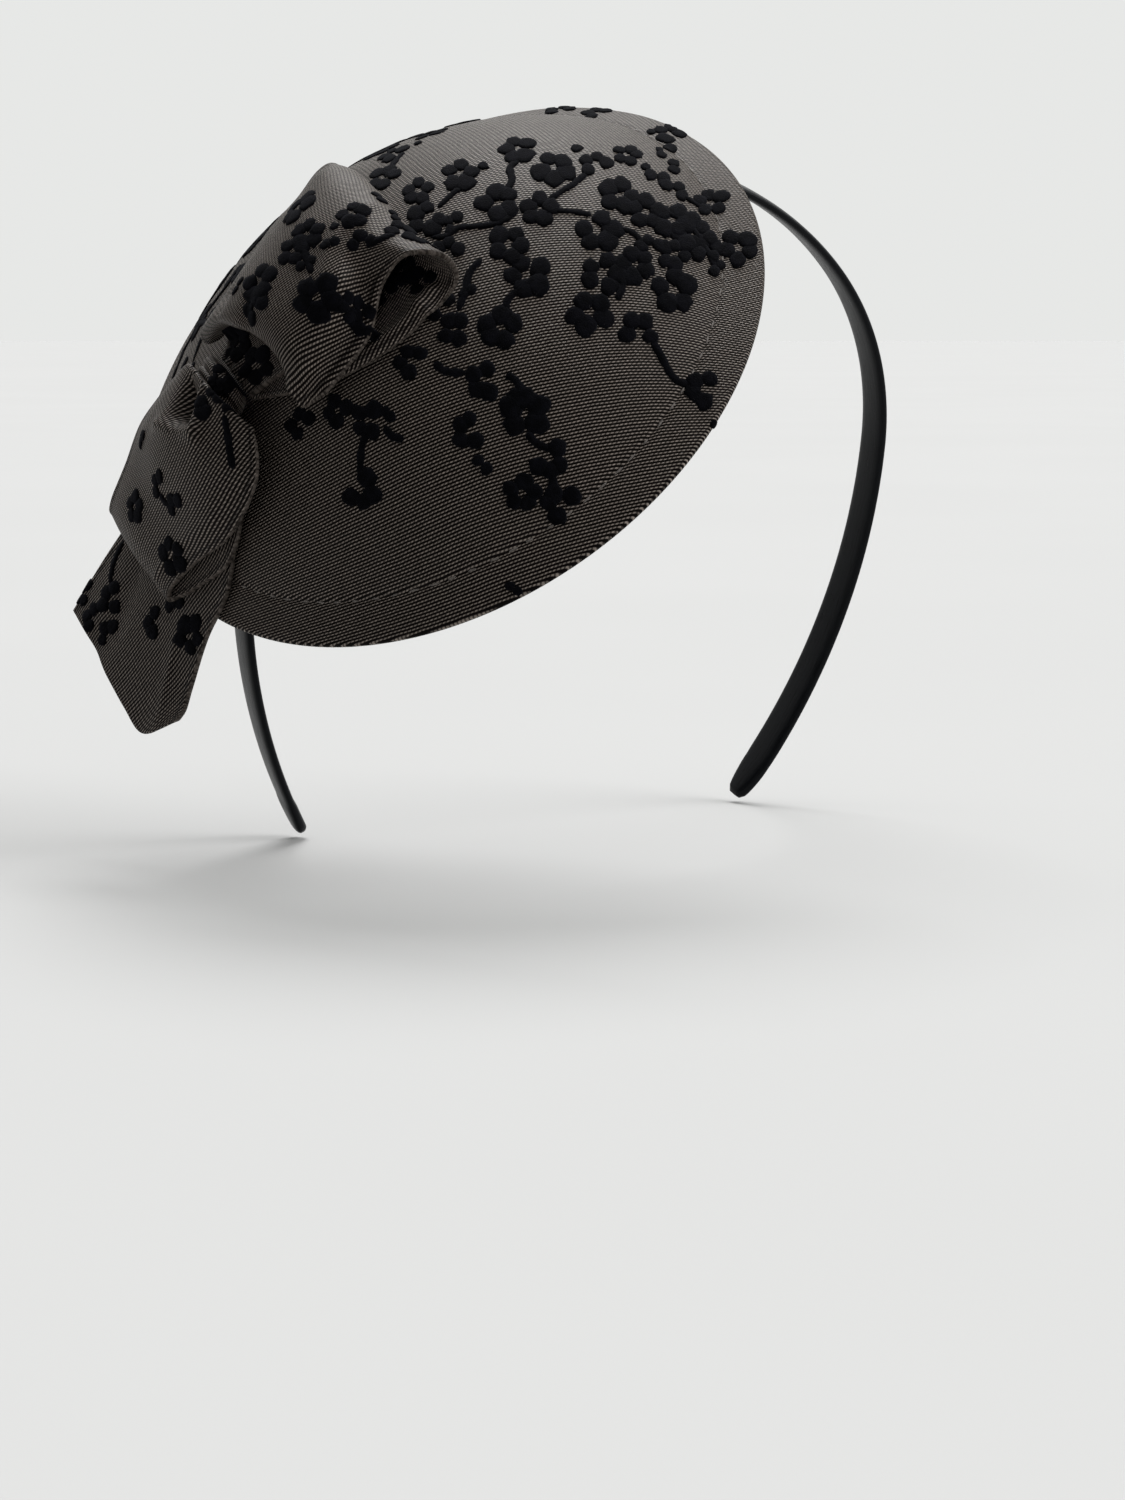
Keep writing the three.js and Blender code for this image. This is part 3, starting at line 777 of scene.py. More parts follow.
def thread_material():
    """Twisted sewing thread."""
    shader = Shader("thread", roughness=0.6, sheen=0.1, specular=0.3)
    strand = shader.noise(shader.place(), scale=2500.0)
    shader.shades(strand, settings().finish.thread, lighter=4)
    shader.bump(strand, distance=0.0001, strength=0.6)
    return shader.material


def floor_material():
    """Plain matt floor with the faintest mottle."""
    shader = Shader("floor", roughness=0.9, specular=0.2)
    mottle = shader.spread(shader.noise(shader.place(), scale=3.0), low=0.3, high=0.7)
    base = Vector(settings().finish.floor)
    darkest = 0.985 * base
    shader.colour(shader.mix(mottle, (*darkest, 1), (*base, 1)))
    return shader.material


# Petals of a blossom: their wander in degrees, their distance from its middle and their length as shares
# of its width, their breadth as a share of their length, and their rise as a share of the pile's
PETALS = 5
PETAL_WANDER = 12
PETAL_OUT = (0.25, 0.30)
PETAL_SIZE = (0.36, 0.46)
PETAL_BREADTH = (0.92, 1.08)
PETAL_RISE = (0.85, 1.1)

# Raised pile: how ragged a petal's outline is, in how many waves, how these change from petal to petal, how
# flat the top is, where on the ball it begins, and the underside's depth as a share of the rise
RAGGED = 0.16
RAGGED_WAVES = 2
RAGGED_STEP = 10
PILE_ROUNDING = 0.38
EQUATOR = 1e-4
SINK = 0.25

# Twigs: steps of the ridge between two points and round it, how much its width varies, how round and how
# high it is, and how fast it tapers at its ends
TWIG_STEPS = 8
TWIG_SIDES = 8
TWIG_VARIES = (0.8, 1.2)
TWIG_ROUNDING = 0.6
TWIG_HEIGHT = 0.9
TWIG_TAPER = 3

# How a motif seen at a slant is drawn out: the smallest cosine that counts, and the power that it grows by
LEAST_FACING = 0.1
DRAW_POWER = 0.7


class Seat:
    """A spot on a cloth, with axes along and out of it, where a small raised shape is laid and drawn out."""

    REACH = 0.004

    def __init__(self, cloth, spot, out, right, draw=None):
        self.cloth = cloth
        self.spot = spot
        self.out = out
        self.right = (right - out * right.dot(out)).normalized()
        self.up = out.cross(self.right)
        self.draw = Vector() if draw is None else draw

    def point(self, x, y, rise):
        """The point over the cloth at x and y along the seat, that far out of it."""
        step = self.right * x + self.up * y
        flat = self.spot + step + self.draw * self.draw.dot(step)
        hit, normal, _, _ = self.cloth.ray_cast(flat + self.out * self.REACH, -self.out, 2 * self.REACH)
        if hit is None:
            hit, normal, _, _ = self.cloth.find_nearest(flat)
        return hit + normal * rise

    def beside(self, x, y, turn=0.0):
        """The seat at x and y along this one, turned about its own way out."""
        spot = self.point(x, y, 0)
        _, out, _, _ = self.cloth.find_nearest(spot)
        return Seat(self.cloth, spot, out, Matrix.Rotation(turn, 3, out) @ self.right)


def cloth_of(name):
    """The finished surface of a piece that was made before, to lay others on."""
    piece = bpy.data.objects.get(name)
    if piece is None:
        raise RuntimeError(f"{name} has to be made first")
    return BVHTree.FromObject(piece, bpy.context.evaluated_depsgraph_get())


def seat_at_pixel(cloth, pixel, most_draw=1.0):
    """The seat on the cloth that shows at a pixel of the photograph, drawn out where that is at a slant."""
    stage = settings().stage
    turn = Matrix.Rotation(stage.yaw, 3, "Z") @ Matrix.Rotation(stage.pitch, 3, "X")
    focal = stage.lens / FILM * PHOTO_HEIGHT
    x, y = pixel
    right, up = x - PHOTO_WIDTH / 2, PHOTO_HEIGHT / 2 - y
    ray = (turn @ Vector((right / focal, up / focal, -1))).normalized()
    hit, normal, _, _ = cloth.ray_cast(Vector(stage.camera), ray)
    if hit is None:
        raise RuntimeError(f"no cloth shows at pixel {pixel}")
    slant = ray - normal * ray.dot(normal)
    facing = max(LEAST_FACING, abs(normal.dot(ray)))
    draw = min(most_draw, (1 / facing) ** DRAW_POWER)
    return Seat(cloth, hit, normal, turn @ Vector((1, 0, 0)), slant.normalized() * math.sqrt(draw - 1))


def seat_on_hat(cloth, x, y):
    """The seat over a place on the hat's plan, given in millimetres in the bow's frame."""
    place = bow_matrix()
    above = 0.1
    down = -(place.to_3x3() @ Vector((0, 0, 1)))
    hit, normal, _, _ = cloth.ray_cast(place @ Vector((x * MM, y * MM, above)), down)
    if hit is None:
        raise RuntimeError(f"no cloth lies at {x}, {y} on the hat")
    return Seat(cloth, hit, normal, place.to_3x3() @ Vector((1, 0, 0)))


def pillow_template():
    """A ball of a few dozen faces, which each petal and stitch is pressed from."""
    if "pillow" not in bpy.data.meshes:
        ball = bmesh.new()
        bmesh.ops.create_uvsphere(ball, u_segments=12, v_segments=6, radius=1.0)
        ball.to_mesh(bpy.data.meshes.new("pillow"))
        ball.free()
    return bpy.data.meshes["pillow"]


def add_pillow(bm, seat, middle, length, width, angle, height, ragged=0.0):
    """A closed low pillow of pile, longest along the angle, with its underside sunk in the cloth."""
    grain = Vector((0, 0, RAGGED_STEP * angle + seat.spot.x / MM))
    along = Vector((math.cos(angle), math.sin(angle)))
    across = Vector((-along.y, along.x))
    before = len(bm.verts)
    bm.from_mesh(pillow_template())
    bm.verts.ensure_lookup_table()
    for vert in bm.verts[before:]:
        x, y, z = vert.co
        swell = 0.5 + ragged * noise.noise(Vector((x, y, 0)) * RAGGED_WAVES + grain)
        flat = Vector(middle) + (along * x * length + across * y * width) * swell
        rise = height * (z**PILE_ROUNDING if z > EQUATOR else z * SINK)
        vert.co = seat.point(flat.x, flat.y, rise)


def add_blossom(bm, seat, row, rng):
    """Round petals about a bare middle."""
    width = row.width * MM
    height = settings().blossom.flock_height
    for k in range(row.petals):
        angle = math.radians(row.turn + 360 / PETALS * k + rng.uniform(-PETAL_WANDER, PETAL_WANDER))
        out = width * rng.uniform(*PETAL_OUT)
        middle = (out * math.cos(angle), out * math.sin(angle))
        size = width * rng.uniform(*PETAL_SIZE)
        broad = size * rng.uniform(*PETAL_BREADTH)
        add_pillow(bm, seat, middle, size, broad, angle, height * rng.uniform(*PETAL_RISE), RAGGED)


def add_twig(bm, cloth, seats, rng):
    """A low rounded ridge of pile through the seats."""
    steps = TWIG_STEPS * (len(seats) - 1)
    ahead_by = 0.02
    blossom = settings().blossom
    spots = [seat.spot for seat in seats]
    outs = [seat.out for seat in seats]
    widths = [blossom.twig_width * rng.uniform(*TWIG_VARIES) for _ in range(steps + 1)]
    made = bmesh.ops.create_grid(bm, x_segments=steps, y_segments=TWIG_SIDES, size=0.5)
    for vert in made["verts"]:
        t = vert.co.x + 0.5
        angle = 2 * math.pi * (vert.co.y + 0.5)
        spot = spline(spots, t)
        ahead = spline(spots, min(1, t + ahead_by)) - spline(spots, max(0, t - ahead_by))
        seat = Seat(cloth, spot, spline(outs, t).normalized(), ahead.normalized())
        taper = min(1.0, TWIG_TAPER * math.sqrt(max(0.0, t * (1 - t))))
        half = widths[round(t * steps)] * taper / 2
        top = math.sin(angle)
        profile = TWIG_HEIGHT * max(top, 0) ** TWIG_ROUNDING + SINK * min(top, 0)
        rise = blossom.flock_height * taper * profile
        vert.co = seat.point(0, half * math.cos(angle), rise)


def flock_piece(flock, most_draw, sprays=()):
    """The blossoms and twigs of one piece of cloth, joined."""
    rng = random.Random(settings().blossom.seed + flock.seed)
    cloth = cloth_of(flock.carrier)
    bm = bmesh.new()
    for row in flock.blossoms:
        add_blossom(bm, seat_at_pixel(cloth, (row.x, row.y), most_draw), row, rng)
    for pixels in flock.twigs:
        add_twig(bm, cloth, [seat_at_pixel(cloth, pixel) for pixel in pixels], rng)
    for spray in sprays:
        seat = seat_on_hat(cloth, spray.x, spray.y).beside(0, 0, math.radians(spray.turn))
        for row in SPRAY_BLOSSOMS:
            add_blossom(bm, seat.beside(row.x * MM, row.y * MM), row, rng)
        for path in SPRAY_TWIGS:
            add_twig(bm, cloth, [seat.beside(x * MM, y * MM) for x, y in path], rng)
    bmesh.ops.remove_doubles(bm, verts=bm.verts, dist=MERGE)
    bmesh.ops.recalc_face_normals(bm, faces=bm.faces)
    return add_piece(flock.name, bm, flock_material())


# Bow cloth

# How sharply a section turns at its edges, how far pleats sway and how often, wrinkles for each metre along
# a strip and across it, where the thick hem ends as a share of its width, and the digits that tell steps
# apart
EDGE_TURN = 3
PLEAT_SWAY = 0.15
PLEAT_BENDS = 5
WRINKLES_ALONG = 70
WRINKLES_ACROSS = 3.1
HEM_SHOULDER = 0.6
STEP_DIGITS = 5


def strip_rails(sections):
    """Seven lines along a strip, from its back edge to its front edge, in the bow's frame."""
    places = len(sections[0].lift)
    rails = []
    for k in range(places):
        side = 2 * k / (places - 1) - 1
        rail = []
        for row in sections:
            if len(row.x) == places:
                x = row.x[k] * MM
            else:
                back_x, mid_x, front_x = row.x
                edge_x = back_x if side < 0 else front_x
                x = (mid_x + (edge_x - mid_x) * abs(side) ** EDGE_TURN) * MM
            back_y, front_y = row.y
            y = (back_y + (front_y - back_y) * (side + 1) / 2) * MM
            rail.append(Vector((x, y, hat_height(x, y) + row.lift[k] * MM)))
        rails.append(rail)
    return rails


def fold_shift(folds, place, scale):
    """How far the folds move a place on a strip, given as shares of its length and width."""
    shift = 0.0
    for fold in folds:
        path = [Vector((u * scale[0], v * scale[1])) for u, v in fold.path]
        spot = Vector((place[0] * scale[0], place[1] * scale[1]))
        away = min(distance_to_line(spot, start, end) for start, end in zip(path, path[1:])) / fold.width
        shift += fold.height * (math.exp(-away) if fold.crease else math.exp(-away * away))
    return shift


def distance_to_line(spot, start, end):
    """How far a spot lies from the line between two points."""
    run = end - start
    t = min(1.0, max(0.0, (spot - start).dot(run) / run.length_squared))
    return (spot - start - run * t).length


class StripLines:
    """Lines across a strip at each step, with how far along it each lies and how wide it is there."""

    def __init__(self, sections, shares):
        rails = strip_rails(sections)
        self.lines = {u: [spline(rail, u) for rail in rails] for u in sorted(shares)}
        self.reach = {}
        self.run = {}
        self.length = 0.0
        last = None
        for u, line in self.lines.items():
            middle = line[len(line) // 2]
            if last is not None:
                self.length += (middle - last).length
            last = middle
            self.run[u] = self.length
            self.reach[u] = sum((end - start).length for start, end in zip(line, line[1:]))
        self.width = max(self.reach.values())


def step_at(u):
    """The step along a strip at a share of its length, as the lines are kept by."""
    return round(u, STEP_DIGITS)


def cloth_shift(strip, lines, u, v):
    """How far pleats, wrinkles and folds move the cloth at shares of its length and width."""
    pleats = strip.pleats
    along = lines.run[step_at(u)]
    end = min(along, lines.length - along) if pleats.both_ends else along
    gather = 1 - smoothstep(0.0, pleats.reach * MM, end)
    sway = PLEAT_SWAY * math.sin(PLEAT_BENDS * u + strip.seed)
    pleat = math.sin(2 * math.pi * (pleats.count * v + sway))
    wrinkle = noise.noise(Vector((along * WRINKLES_ALONG, v * WRINKLES_ACROSS, strip.seed)))
    pressed = strip.outward * fold_shift(strip.folds, (u, v), (lines.length / MM, lines.width / MM))
    return (pleats.depth * gather * pleat + pleats.wrinkle * wrinkle + pressed) * MM


def strip_piece(strip):
    """A gathered strip of cloth on a grid laid through its sections, with its flat width and length."""
    bow = settings().bow
    bm = bmesh.new()
    from_edge = bm.verts.layers.float.new("from_edge")
    bmesh.ops.create_grid(bm, x_segments=strip.steps, y_segments=STEPS_ACROSS, size=0.5)
    flat = {vert: (vert.co.x + 0.5, vert.co.y + 0.5) for vert in bm.verts}
    lines = StripLines(strip.sections, {step_at(u) for u, _ in flat.values()})
    for vert, (u, v) in flat.items():
        vert.co = spline(lines.lines[step_at(u)], v)
    bm.normal_update()
    shifts = {vert: cloth_shift(strip, lines, u, v) for vert, (u, v) in flat.items()}
    for vert, shift in shifts.items():
        vert.co += vert.normal * shift
    weave = bm.loops.layers.uv.new("Weave")
    turn = math.radians(strip.rib_turn)
    cos, sin = strip.fineness * math.cos(turn), strip.fineness * math.sin(turn)
    for face in bm.faces:
        for loop in face.loops:
            u, v = flat[loop.vert]
            s = lines.run[step_at(u)] / MM
            t = (v - 0.5) * lines.reach[step_at(u)] / MM
            loop[weave].uv = (s * cos + t * sin, t * cos - s * sin)
    hem_weights = []
    for vert in bm.verts:
        u, v = flat[vert]
        edge = min(v, 1 - v) * lines.reach[step_at(u)]
        hem_weights.append(1 - smoothstep(bow.hem_width * HEM_SHOULDER, bow.hem_width, edge))
        vert[from_edge] = edge / MM
    bmesh.ops.transform(bm, matrix=bow_matrix(), verts=bm.verts)
    piece = add_piece(strip.name, bm, twill_material("bow_twill", hemmed=True))
    double_cloth(piece, hem_weights)
    return piece, lines.width, lines.length


def double_cloth(piece, hem_weights):
    """Gives a strip its thickness, more along the hems, and soft edges."""
    bow = settings().bow
    hem = piece.vertex_groups.new(name="hem")
    for index, weight in enumerate(hem_weights):
        hem.add([index], weight, "REPLACE")
    wall = piece.modifiers.new("doubled cloth", "SOLIDIFY")
    wall.thickness = bow.hem
    wall.offset = 0.0
    wall.vertex_group = "hem"
    wall.thickness_vertex_group = bow.cloth / bow.hem
    wall.use_even_offset = False
    soft = piece.modifiers.new("soft edges", "SUBSURF")
    soft.levels = 1
    soft.render_levels = 1


class FASCINATOR_OT_stage(bpy.types.Operator):
    """Makes the pale floor and surround, the soft lights and the camera"""

    bl_idname = "fascinator.stage"
    bl_label = "Stage"
    # Floor's radius in metres, ways towards the lights and the surround's bright side, and its pale tint
    FLOOR_RADIUS = 40.0
    FLOOR_SIDES = 96
    LIGHT_WAYS = {"top": (0.25, 0.55, 0.95), "side": (0.60, -0.50, 0.70), "left": (-0.75, 0.75, 0.35)}
    BRIGHT_WAY = (0.50, 0.30, 0.81)
    BRIGHT_FROM = 0.95
    TINT = (0.99, 1.0, 0.985, 1)
    NEAREST = 0.01

    def execute(self, context):
        stage = settings().stage
        self.floor(cad_box[0].z - stage.floor_gap)
        self.lights(stage)
        self.camera(context, stage)
        return {"FINISHED"}

    def floor(self, height):
        """A wide plain floor that fades into the surround."""
        bm = bmesh.new()
        bmesh.ops.create_circle(
            bm, cap_ends=True, segments=self.FLOOR_SIDES, radius=self.FLOOR_RADIUS,
            matrix=Matrix.Translation((0, 0, height)))
        mesh = bpy.data.meshes.new("floor")
        bm.to_mesh(mesh)
        bm.free()
        mesh.materials.append(floor_material())
        floor = bpy.data.objects.new("floor", mesh)
        bpy.context.scene.collection.objects.link(floor)

    def lights(self, stage):
        """Broad soft lights from three sides, and the surround's own light."""
        for name, way in self.LIGHT_WAYS.items():
            light = bpy.data.lights.new(f"{name}_light", "SUN")
            light.angle = stage.softness
            light.energy = getattr(stage, f"{name}_power")
            lamp = bpy.data.objects.new(f"{name}_light", light)
            lamp.rotation_euler = (-Vector(way)).to_track_quat("-Z", "Y").to_euler()
            bpy.context.scene.collection.objects.link(lamp)
        self.surround(stage)
        bpy.context.scene.view_settings.view_transform = "Standard"

    def surround(self, stage):
        """A pale surround that lights the object most from above, behind and the right."""
        world = bpy.data.worlds.new("surround")
        world.use_nodes = True
        tree = world.node_tree
        way = tree.nodes.new("ShaderNodeTexCoord")
        toward = tree.nodes.new("ShaderNodeVectorMath")
        toward.operation = "DOT_PRODUCT"
        toward.inputs[1].default_value = Vector(self.BRIGHT_WAY).normalized()
        strength = tree.nodes.new("ShaderNodeMapRange")
        strength.inputs["From Max"].default_value = self.BRIGHT_FROM
        strength.inputs["To Min"].default_value = stage.ambient
        strength.inputs["To Max"].default_value = stage.glow
        seen = tree.nodes.new("ShaderNodeLightPath")
        choose = tree.nodes.new("ShaderNodeMix")
        choose.inputs["B"].default_value = stage.wall
        background = tree.nodes["Background"]
        background.inputs["Color"].default_value = self.TINT
        for start, end in (
            (way.outputs["Generated"], toward.inputs[0]),
            (toward.outputs["Value"], strength.inputs["Value"]),
            (seen.outputs["Is Camera Ray"], choose.inputs["Factor"]),
            (strength.outputs["Result"], choose.inputs["A"]),
            (choose.outputs["Result"], background.inputs["Strength"]),
        ):
            tree.links.new(start, end)
        bpy.context.scene.world = world

    def camera(self, context, stage):
        """The camera at the photograph's viewing angle."""
        lens = bpy.data.cameras.new("camera")
        lens.lens = stage.lens
        lens.sensor_width = FILM
        lens.clip_start = self.NEAREST
        camera = bpy.data.objects.new("camera", lens)
        camera.location = stage.camera
        camera.rotation_euler = (stage.pitch, 0, stage.yaw)
        context.scene.collection.objects.link(camera)
        context.scene.camera = camera


class FASCINATOR_OT_hat_cover(bpy.types.Operator):
    """Covers the dome and its rim in twill, drawn in along the stitched line"""

    bl_idname = "fascinator.hat_cover"
    bl_label = "Hat cover"
    SIDES = 384
    # Rings of the section: over the dome, closer towards the rim, over the rim at these distances from
    # the axis in millimetres, round the edge and inside
    DOME_RINGS = 40
    DOME_SHARE = 0.985
    CROWDING = 0.8
    RIM_RINGS = (69.3, 69.7, 70.0, 70.4, 70.8, 71.3, 72.0, 73.0, 74.2, 75.4, 76.2)
    EDGE_RINGS = 8
    INNER_RINGS = 24
    INNER_SHARE = 0.99
    # Pull of the stitches and the pucker beside it, their widths in millimetres and depths as shares of the
    # groove's, and the rim's slight waves, with the stretch over which they begin
    WELL_INSIDE = 0.8
    PULL_WIDTH = 0.5
    PULL_VARIES = 0.1
    PUCKER_WIDTH = 2.0
    PUCKER = 0.03
    WAVES_PER_METRE = 60
    WAVE_HEIGHT = 0.00012
    WAVE_SEED = 3.0
    WAVES_BEGIN = (-8, 2)
    # Rows of the weave: their slope on the flattened cloth, and the bend that starts so many millimetres to
    # either side
    ROW_SLOPE = 0.36
    ROW_BEND = 0.0047
    BEND_FROM = 27.0

    def execute(self, context):
        hat = settings().hat
        bm = bmesh.new()
        outline = self.outline(hat)
        verts = [bm.verts.new((x, 0, z)) for x, z in outline]
        edges = [bm.edges.new(pair) for pair in zip(verts, verts[1:])]
        bmesh.ops.spin(
            bm, geom=verts + edges, cent=(0, 0, 0), axis=(0, 0, 1), angle=2 * math.pi,
            steps=self.SIDES, use_merge=True)
        bmesh.ops.remove_doubles(bm, verts=bm.verts, dist=MERGE)
        bmesh.ops.recalc_face_normals(bm, faces=bm.faces)
        self.pull_in(bm, hat)
        self.lay_weave(bm, hat)
        bmesh.ops.transform(bm, matrix=hat_matrix(), verts=bm.verts)
        cover = add_piece("hat_cover", bm, twill_material("hat_twill"), inner_material())
        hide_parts("hat_shell")
        return {"FINISHED"}

    def outline(self, hat):
        """Half of the wall's section, from the outer top round the rim's edge to the inner top."""
        radius, centre = dome()
        sweep = math.asin(hat.stitch_radius / radius)
        slope = math.atan(hat.stitch_height / (hat.rim_radius - hat.stitch_radius))
        points = []
        for k in range(self.DOME_RINGS):
            angle = sweep * (k / self.DOME_RINGS) ** self.CROWDING * self.DOME_SHARE
            points.append((radius * math.sin(angle), centre + radius * math.cos(angle)))
        for out in self.RIM_RINGS:
            points.append((out * MM, hat_height(out * MM, 0)))
        roll = hat.wall / 2
        middle = Vector((hat.rim_radius - roll, roll * math.tan(slope)))
        middle -= Vector((math.sin(slope), math.cos(slope))) * roll
        for k in range(self.EDGE_RINGS + 1):
            angle = math.pi / 2 - slope - math.pi * k / self.EDGE_RINGS
            points.append((middle.x + roll * math.cos(angle), middle.y + roll * math.sin(angle)))
        inner = radius - hat.wall
        for k in range(self.INNER_RINGS, -1, -1):
            angle = sweep * self.INNER_SHARE * k / self.INNER_RINGS
            points.append((inner * math.sin(angle), centre + inner * math.cos(angle)))
        points[0] = (0.0, points[0][1])
        points[-1] = (0.0, points[-1][1])
        return points

    def pull_in(self, bm, hat):
        """Draws the cloth in along the stitched line, most at each stitch."""
        bm.normal_update()
        count = stitch_count()
        for vert in bm.verts:
            x, y, _ = vert.co
            out = math.hypot(x, y)
            if vert.normal.z < 0 or out < self.WELL_INSIDE * hat.stitch_radius:
                continue
            away = (out - hat.stitch_radius) / MM
            stitch = math.cos(count * math.atan2(y, x))
            pull = math.exp(-((away / self.PULL_WIDTH) ** 2)) * (1 - self.PULL_VARIES * (1 - stitch))
            pucker = math.exp(-((away / self.PUCKER_WIDTH) ** 2)) * self.PUCKER * stitch
            wave = noise.noise(Vector((x * self.WAVES_PER_METRE, y * self.WAVES_PER_METRE, self.WAVE_SEED)))
            rise = self.WAVE_HEIGHT * wave * smoothstep(*self.WAVES_BEGIN, away)
            vert.co += vert.normal * (rise - hat.groove_depth * (pull + pucker))

    def lay_weave(self, bm, hat):
        """Flattens the dome for the weave, turned to the bow's frame, with the rows bending at both sides."""
        radius, centre = dome()
        weave = bm.loops.layers.uv.new("Weave")
        turn = Matrix.Rotation(-settings().bow.turn, 2)
        rim_width = hat.rim_radius - hat.stitch_radius
        rim_slant = math.hypot(rim_width, hat.stitch_height) / rim_width
        for face in bm.faces:
            middle = face.calc_center_median()
            looks_in = face.normal.dot(middle - Vector((0, 0, centre))) < 0
            if looks_in and middle.xy.length < hat.stitch_radius:
                face.material_index = 1
            for loop in face.loops:
                x, y, _ = loop.vert.co
                out = max(math.hypot(x, y), MERGE)
                on_dome = min(out, hat.stitch_radius)
                from_top = radius * math.asin(on_dome / radius) + (out - on_dome) * rim_slant
                flat = turn @ Vector((x, y)) * from_top / out / MM
                drop = self.ROW_BEND * max(abs(flat.x) - self.BEND_FROM, 0) ** 2
                loop[weave].uv = (flat.x, flat.y + self.ROW_SLOPE * flat.x + math.copysign(drop, flat.x))


class FASCINATOR_OT_rim_stitches(bpy.types.Operator):
    """Sews a ring of short stitches along the stitched line"""

    bl_idname = "fascinator.rim_stitches"
    bl_label = "Rim stitches"
    # Lengths, width and height in millimetres, the wander as a share of the spacing, the lean in radians and
    # how far outward the cloth faces under them for each step up
    LENGTHS = (1.6, 2.6)
    WIDTH = 0.45
    HEIGHT = 0.2
    WANDER = 0.12
    LEAN = 0.12
    OUTWARD = 0.7

    def execute(self, context):
        hat = settings().hat
        rng = random.Random(settings().blossom.seed)
        cloth = cloth_of("hat_cover")
        count = stitch_count()
        place = hat_matrix()
        turn = place.to_3x3()
        bm = bmesh.new()
        for k in range(count):
            angle = 2 * math.pi * (k + 0.5 + rng.uniform(-self.WANDER, self.WANDER)) / count
            out = Vector((math.cos(angle), math.sin(angle), 0))
            spot = place @ (out * hat.stitch_radius + Vector((0, 0, hat.stitch_height)))
            normal = (turn @ (out * self.OUTWARD + Vector((0, 0, 1)))).normalized()
            seat = Seat(cloth, spot, normal, turn @ Vector((-out.y, out.x, 0)))
            lean = rng.uniform(-self.LEAN, self.LEAN)
            length = rng.uniform(*self.LENGTHS) * MM
            add_pillow(bm, seat, (0, 0), length, self.WIDTH * MM, lean, self.HEIGHT * MM)
        bmesh.ops.recalc_face_normals(bm, faces=bm.faces)
        stitches = add_piece("rim_stitches", bm, thread_material())
        return {"FINISHED"}


class FASCINATOR_OT_headband(bpy.types.Operator):
    """Wraps the headband in satin ribbon, folded over at both tips"""

    bl_idname = "fascinator.headband"
    bl_label = "Headband"
    STEPS = 330
    SIDES = 20
    # Folded ribbon and thin end at each tip, in metres from it, and how square the section is
    FOLD_ENDS = (0.0088, 0.0096)
    THIN_END = 0.0015
    THINNED = 0.35
    SIDE_ROUNDING = 0.6
    FACE_ROUNDING = 0.8
    LEAST_RUN = 1e-9

    def execute(self, context):
        band = settings().band
        length = sum(arc.radius * math.radians(arc.degrees) for arc in BAND_ARCS) * MM
        bm = bmesh.new()
        bmesh.ops.create_grid(bm, x_segments=self.STEPS, y_segments=self.SIDES, size=0.5)
        weave = bm.loops.layers.uv.new("Weave")
        for face in bm.faces:
            for loop in face.loops:
                loop[weave].uv = (loop.vert.co.x * 2 * length / MM, loop.vert.co.y * 2 * band.width / MM)
        for vert in bm.verts:
            run = 2 * length * vert.co.x
            vert.co = self.surface(band, length, run, 2 * math.pi * vert.co.y)
        bmesh.ops.remove_doubles(bm, verts=bm.verts, dist=MERGE)
        bmesh.ops.holes_fill(bm, edges=[edge for edge in bm.edges if edge.is_boundary], sides=0)
        bmesh.ops.recalc_face_normals(bm, faces=bm.faces)
        lean = Matrix.Rotation(band.sweep_back, 4, "X")
        bmesh.ops.transform(bm, matrix=Matrix.Translation((0, 0, band.thickness / 2)) @ lean, verts=bm.verts)
        ribbon = add_piece("headband_ribbon", bm, satin_material())
        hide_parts("headband")
        return {"FINISHED"}

    def surface(self, band, length, run, angle):
        """A point on the wrapped band, that far along it from the top and round its section."""
        left = length - abs(run)
        across, drop, turn = self.middle(abs(run))
        tip = min(1.0, left / band.tip_length)
        half = (band.tip_width + (band.width - band.tip_width) * math.sqrt(tip * (2 - tip))) / 2
        fold = band.fold_height * (1 - smoothstep(*self.FOLD_ENDS, left))
        thinned = self.THINNED * (1 - smoothstep(0, self.THIN_END, left))
        deep = band.thickness / 2 * (1 - thinned) + fold
        cos, sin = math.cos(angle), math.sin(angle)
        sideways = half * math.copysign(abs(cos) ** self.SIDE_ROUNDING, cos)
        out = deep * math.copysign(abs(sin) ** self.FACE_ROUNDING, sin)
        side = 1 if run >= 0 else -1
        return Vector((side * (across + out * math.sin(turn)), sideways, -drop + out * math.cos(turn)))

    def middle(self, run):
        """Place and slope of the arch's middle line, that far down from its top."""
        across, drop, turn = 0.0, 0.0, 0.0
        for arc in BAND_ARCS:
            radius = arc.radius * MM
            step = min(math.radians(arc.degrees), run / radius)
            across += radius * (math.sin(turn + step) - math.sin(turn))
            drop += radius * (math.cos(turn) - math.cos(turn + step))
            turn += step
            run -= radius * step
            if run <= self.LEAST_RUN:
                break
        return across, drop, turn


class FASCINATOR_OT_bow(bpy.types.Operator):
    """Lays the bow's two loops and its tail, gathered at the knot"""

    bl_idname = "fascinator.bow"
    bl_label = "Bow cloth"

    def execute(self, context):
        for strip in BOW_STRIPS:
            piece, width, length = strip_piece(strip)
            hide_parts(strip.name.removesuffix("_cloth"))
        return {"FINISHED"}


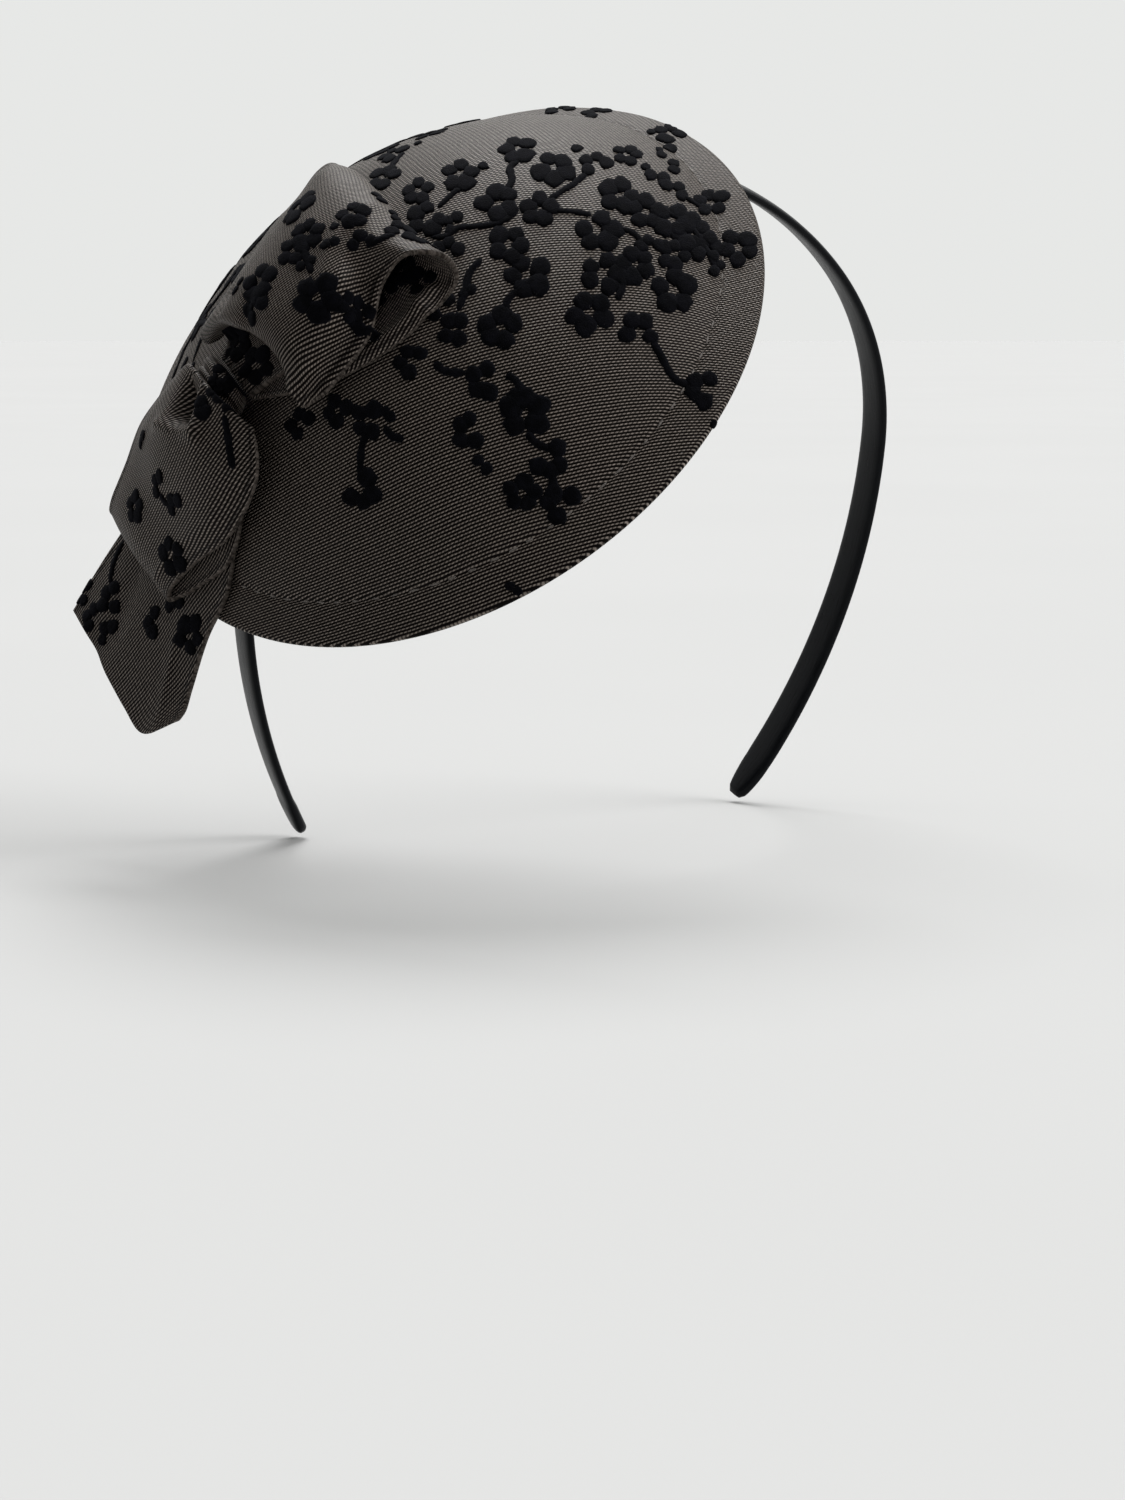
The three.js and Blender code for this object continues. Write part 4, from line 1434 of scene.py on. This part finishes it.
class FASCINATOR_OT_knot(bpy.types.Operator):
    """Wraps the bow's middle in a narrow pleated band"""

    bl_idname = "fascinator.knot"
    bl_label = "Knot"
    AROUND = 64
    ALONG = 30
    # Cloth along the bow and round it, in millimetres, and its creases: how many, how deep in millimetres and
    # how far they sway in radians
    CLOTH_ALONG = 9
    CLOTH_AROUND = 56
    CREASES = 3.5
    CREASE_DEPTH = 0.10
    CREASE_SWAY = 0.6

    def execute(self, context):
        bm = bmesh.new()
        bmesh.ops.create_grid(bm, x_segments=self.ALONG, y_segments=self.AROUND, size=0.5)
        weave = bm.loops.layers.uv.new("Weave")
        for face in bm.faces:
            for loop in face.loops:
                loop[weave].uv = (loop.vert.co.x * self.CLOTH_ALONG, loop.vert.co.y * self.CLOTH_AROUND)
        rows = [Vector(row) for row in KNOT_SECTIONS]
        for vert in bm.verts:
            angle = 2 * math.pi * vert.co.y
            t = vert.co.x + 0.5
            x, half, top = spline(rows, t)
            phase = 2 * math.pi * self.CREASES * t + self.CREASE_SWAY * math.sin(angle)
            crease = self.CREASE_DEPTH * math.sin(phase) * math.sin(math.pi * t)
            y = (half + crease) * math.cos(angle)
            lift = (top + KNOT_UNDERSIDE) / 2 + ((top - KNOT_UNDERSIDE) / 2 + crease) * math.sin(angle)
            vert.co = Vector((x, y, 0)) * MM
            vert.co.z = hat_height(vert.co.x, vert.co.y) + lift * MM
        bmesh.ops.remove_doubles(bm, verts=bm.verts, dist=MERGE)
        bmesh.ops.holes_fill(bm, edges=[edge for edge in bm.edges if edge.is_boundary], sides=0)
        bmesh.ops.recalc_face_normals(bm, faces=bm.faces)
        bmesh.ops.transform(bm, matrix=bow_matrix(), verts=bm.verts)
        knot = add_piece("bow_knot_wrap", bm, twill_material("knot_twill"))
        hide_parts("bow_knot")
        return {"FINISHED"}


class FASCINATOR_OT_hat_blossoms(bpy.types.Operator):
    """Lays the flocked blossom sprigs on the dome"""

    bl_idname = "fascinator.hat_blossoms"
    bl_label = "Hat blossoms"

    def execute(self, context):
        piece = flock_piece(HAT_FLOCK, settings().blossom.hat_draw, HAT_SPRAYS)
        return {"FINISHED"}


class FASCINATOR_OT_bow_blossoms(bpy.types.Operator):
    """Lays the flocked blossoms on the bow's loops, tail and wrap, some of them laid also as painted shade"""

    bl_idname = "fascinator.bow_blossoms"
    bl_label = "Bow blossoms"

    def execute(self, context):
        for flock in BOW_FLOCK:
            piece = flock_piece(flock, settings().blossom.bow_draw)
        return {"FINISHED"}


class FASCINATOR_PT_panel(bpy.types.Panel):
    """Lists the steps that dress the fascinator"""

    bl_label = "Fascinator"
    bl_idname = "FASCINATOR_PT_panel"
    bl_space_type = "VIEW_3D"
    bl_region_type = "UI"
    bl_category = "Fascinator"

    def draw(self, context):
        for operator in OPERATORS:
            self.layout.operator(operator.bl_idname)
        for group in ("hat", "band", "bow", "blossom", "finish", "stage"):
            part = getattr(context.scene.fascinator, group)
            box = self.layout.box()
            box.label(text=group.capitalize())
            for key in part.__annotations__:
                box.prop(part, key)


GROUPS = (HatSizes, BandSizes, BowSizes, BlossomSizes, Finishes, StageSettings, FascinatorSettings)
OPERATORS = (
    FASCINATOR_OT_stage,
    FASCINATOR_OT_hat_cover,
    FASCINATOR_OT_rim_stitches,
    FASCINATOR_OT_headband,
    FASCINATOR_OT_bow,
    FASCINATOR_OT_knot,
    FASCINATOR_OT_hat_blossoms,
    FASCINATOR_OT_bow_blossoms,
)
CLASSES = (*GROUPS, *OPERATORS, FASCINATOR_PT_panel)


def register():
    for kind in CLASSES:
        bpy.utils.register_class(kind)
    bpy.types.Scene.fascinator = PointerProperty(type=FascinatorSettings)


def unregister():
    del bpy.types.Scene.fascinator
    for kind in reversed(CLASSES):
        bpy.utils.unregister_class(kind)


def main():
    register()
    for operator in OPERATORS:
        space, name = operator.bl_idname.split(".")
        getattr(getattr(bpy.ops, space), name)()


if __name__ == "__main__":
    main()
